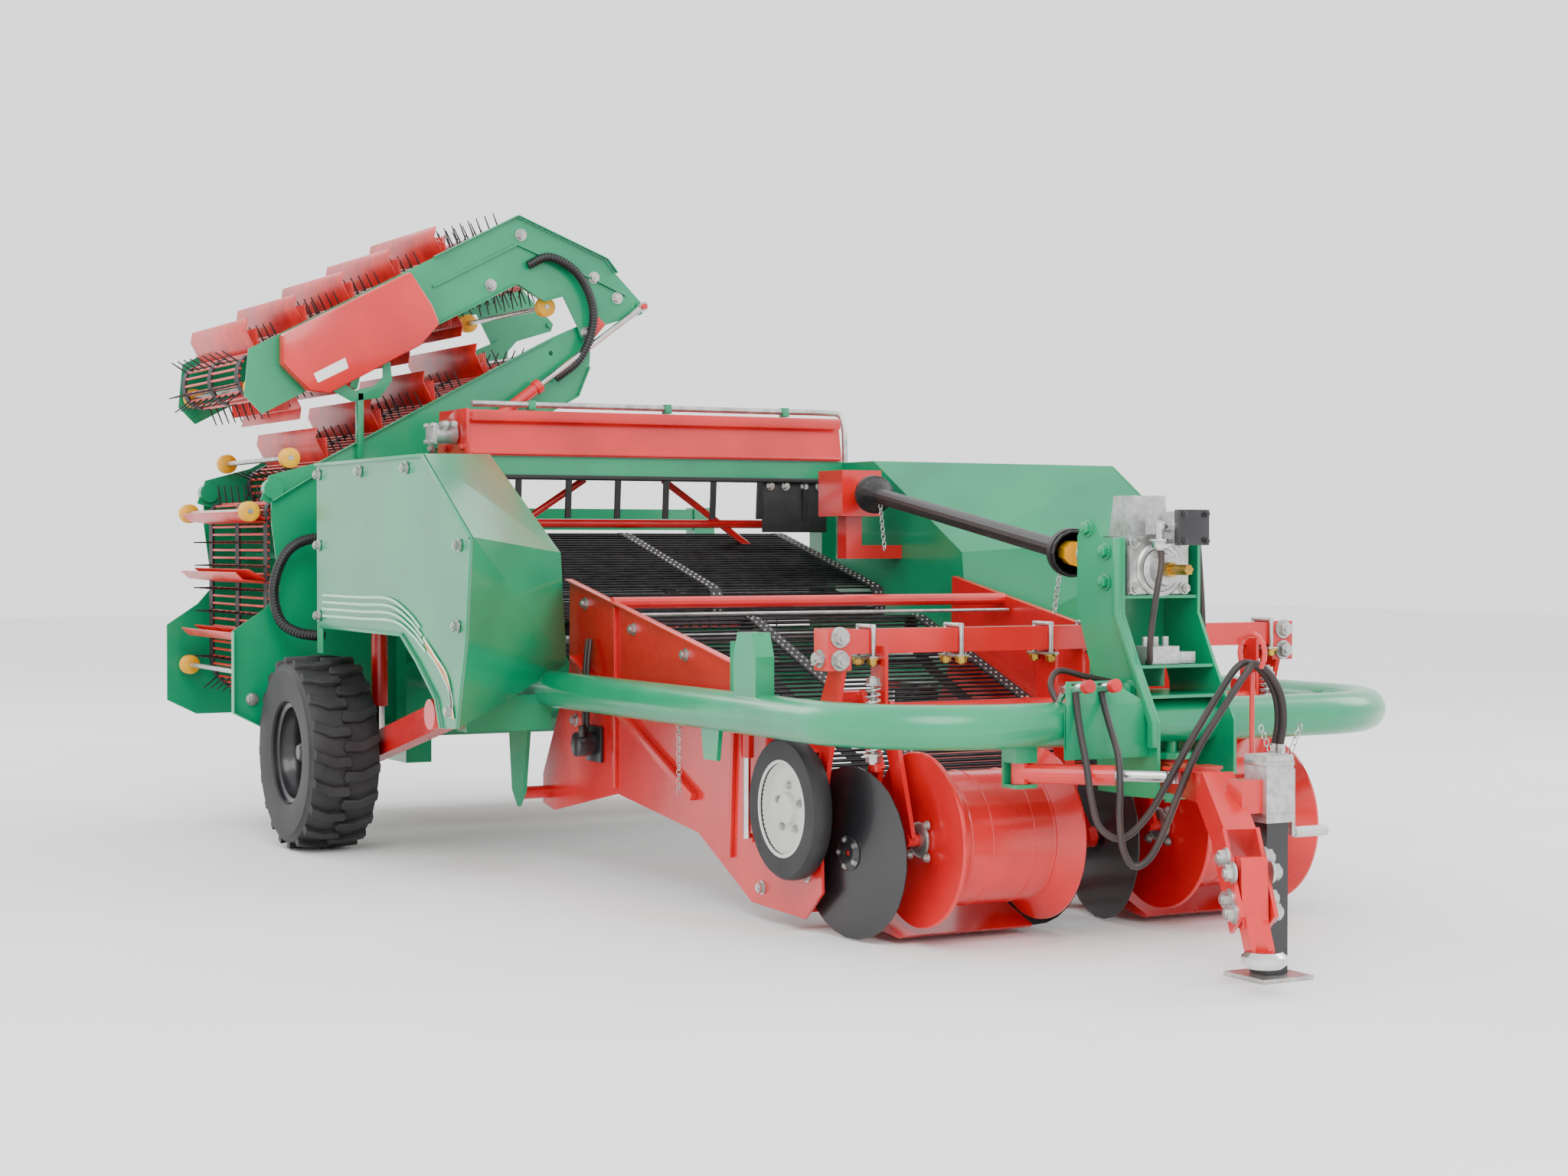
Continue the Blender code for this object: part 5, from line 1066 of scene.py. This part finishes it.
for word, side in (("left", -1), ("right", 1)):
    x = side * 0.812
    coil = [(x + 0.022 * math.cos(0.9 * t), -3.385 + 0.022 * math.sin(0.9 * t), 0.62
        + 0.0028 * t) for t in range(78)]
    pipe, _, _ = hose("press_coil_" + word, coil, 0.0042, zinc_plate, 420, 3)
    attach(pipe, "disc_arm_" + word)
    weld([round_stock((x, -3.385, 0.585), (x, -3.385, 0.870), 0.008, 14)]
        + bolts([(x, -3.385, 0.845)], (0, 0, 1), 0.030) + bolts([(x, -3.385, 0.618)], (0, 0, -1), 0.034))
    settle("press_rod_" + word, zinc_plate, "disc_arm_" + word)
    weld([bar_stock((min(x, side * 0.785), -3.400, 0.560), (max(x, side * 0.785), -3.370, 0.590))])
    settle("press_seat_" + word, red_enamel, "disc_arm_" + word, bevel=0.002)


# The haulm wheels beside the intake have a rubber tread on a pale steel dish held by five bolts.
pale_rim = surface("pale_rim", "#d2d2cd", "#bfbfba", 40.0, 0.42)
for word, side in (("left", -1), ("right", 1)):
    spot = (side * 0.949, -3.070, 0.420)
    rubber = [(0.152, -0.031), (0.165, -0.0345), (0.228, -0.0345), (0.238, -0.022), (0.2405, 0.0),
        (0.238, 0.022), (0.228, 0.0345), (0.165, 0.0345), (0.152, 0.031), (0.152, -0.031)]
    weld([turned(rubber, spot, (side, 0, 0), 64)])
    settle("haulm_tread_" + word, tyre_rubber, "haulm_"
        + word, replaced=("haulm_wheel_" + word,))
    dish = [(0.0, -0.0385), (0.035, -0.0385), (0.045, -0.012), (0.150, -0.012), (0.153, -0.036),
        (0.164, -0.036), (0.164, 0.036), (0.153, 0.036), (0.150, 0.000), (0.055, 0.004), (0.050, 0.020),
        (0.0, 0.022)]
    weld([turned(dish, spot, (side, 0, 0), 56)])
    settle("haulm_dish_" + word, pale_rim, "haulm_" + word, bevel=0.001)
    ring = []
    for step in range(5):
        turn = math.radians(72 * step + 18)
        ring += bolts([(spot[0] + side * 0.004, spot[1] + 0.078 * math.cos(turn), spot[2]
            + 0.078 * math.sin(turn))], (side, 0, 0), 0.016)
    weld(ring)
    settle("haulm_bolts_" + word, zinc_plate, "haulm_" + word)


# The hitch is bolted: four zinc bolts through its cheeks, a turned steel ring at the eye, a grip on the jack
# crank, zinc bands round the jack and a safety chain.
foot = Vector((-0.290, -4.660, 0.310))
way = Vector((-0.090, -0.260, 0)).normalized()
across = way.cross(Vector((0, 0, 1))).normalized()
spots = []
for along, up in ((-0.030, 0.075), (0.030, 0.040), (0.005, -0.040), (0.040, -0.075)):
    for face in (-1, 1):
        spots.append((foot + across * (0.057 * face) + way * along + Vector((0, 0, up)), across * face))
weld([bolt for spot, axis in spots for bolt in bolts([tuple(spot)], tuple(axis), 0.034)])
settle("cheek_bolts", zinc_plate, "drawbar")
weld([turned([(0.026, -0.0235), (0.050, -0.0235), (0.066, -0.011), (0.067, 0.0), (0.066, 0.011),
    (0.050, 0.0235), (0.026, 0.0235), (0.024, 0.0), (0.026, -0.0235)], (-0.322, -4.772, 0.110), (0, 0,
    1), 56)])
settle("eye_ring", bright_steel, "drawbar", bevel=0.0006)
jack = Vector((-0.085, -4.500, 0.0))
weld([round_stock((0.010, -4.500, 0.432), (0.135, -4.500, 0.432), 0.0165, 24)])
settle("crank_grip", surface("grey_grip", "#cfd0cd", "#b9bab7", 20.0, 0.45), "jack_crank",
    bevel=0.004)
weld([bar_stock((-0.085 - 0.054, -4.554, 0.486), (-0.085 + 0.054, -4.446, 0.500)),
    bar_stock((-0.139, -4.554, 0.640), (-0.031, -4.446, 0.655)),
    round_stock((-0.031, -4.500, 0.620), (-0.018, -4.500, 0.620), 0.026, 28)])
settle("jack_bands", zinc_plate, "drawbar", bevel=0.002)
places = [Vector((-0.075 + 0.010 * step, -4.45, 0.745 - 0.105 * math.sin(math.pi * step / 15)))
          for step in range(16)]
chain("safety_chain", places, "drawbar")


# A lifting chain hangs from the left leg of the frame, and two short hoses feed the web motor.
chain("leg_chain", [Vector((-1.060, -2.450, 0.662 - 0.0165 * step)) for step in range(15)], "root")
for word, y in (("feed", -1.400), ("drain", -1.430)):
    route = [(-0.962, y, 0.590), (-0.965, y - 0.005, 0.690), (-0.950, y + 0.02, 0.830),
        (-0.930, y + 0.04, 0.930)]
    pipe, _, _ = hose("web_motor_" + word, route, 0.0085, hose_rubber, 40)
    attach(pipe, "intake")


bpy.context.view_layer.update()
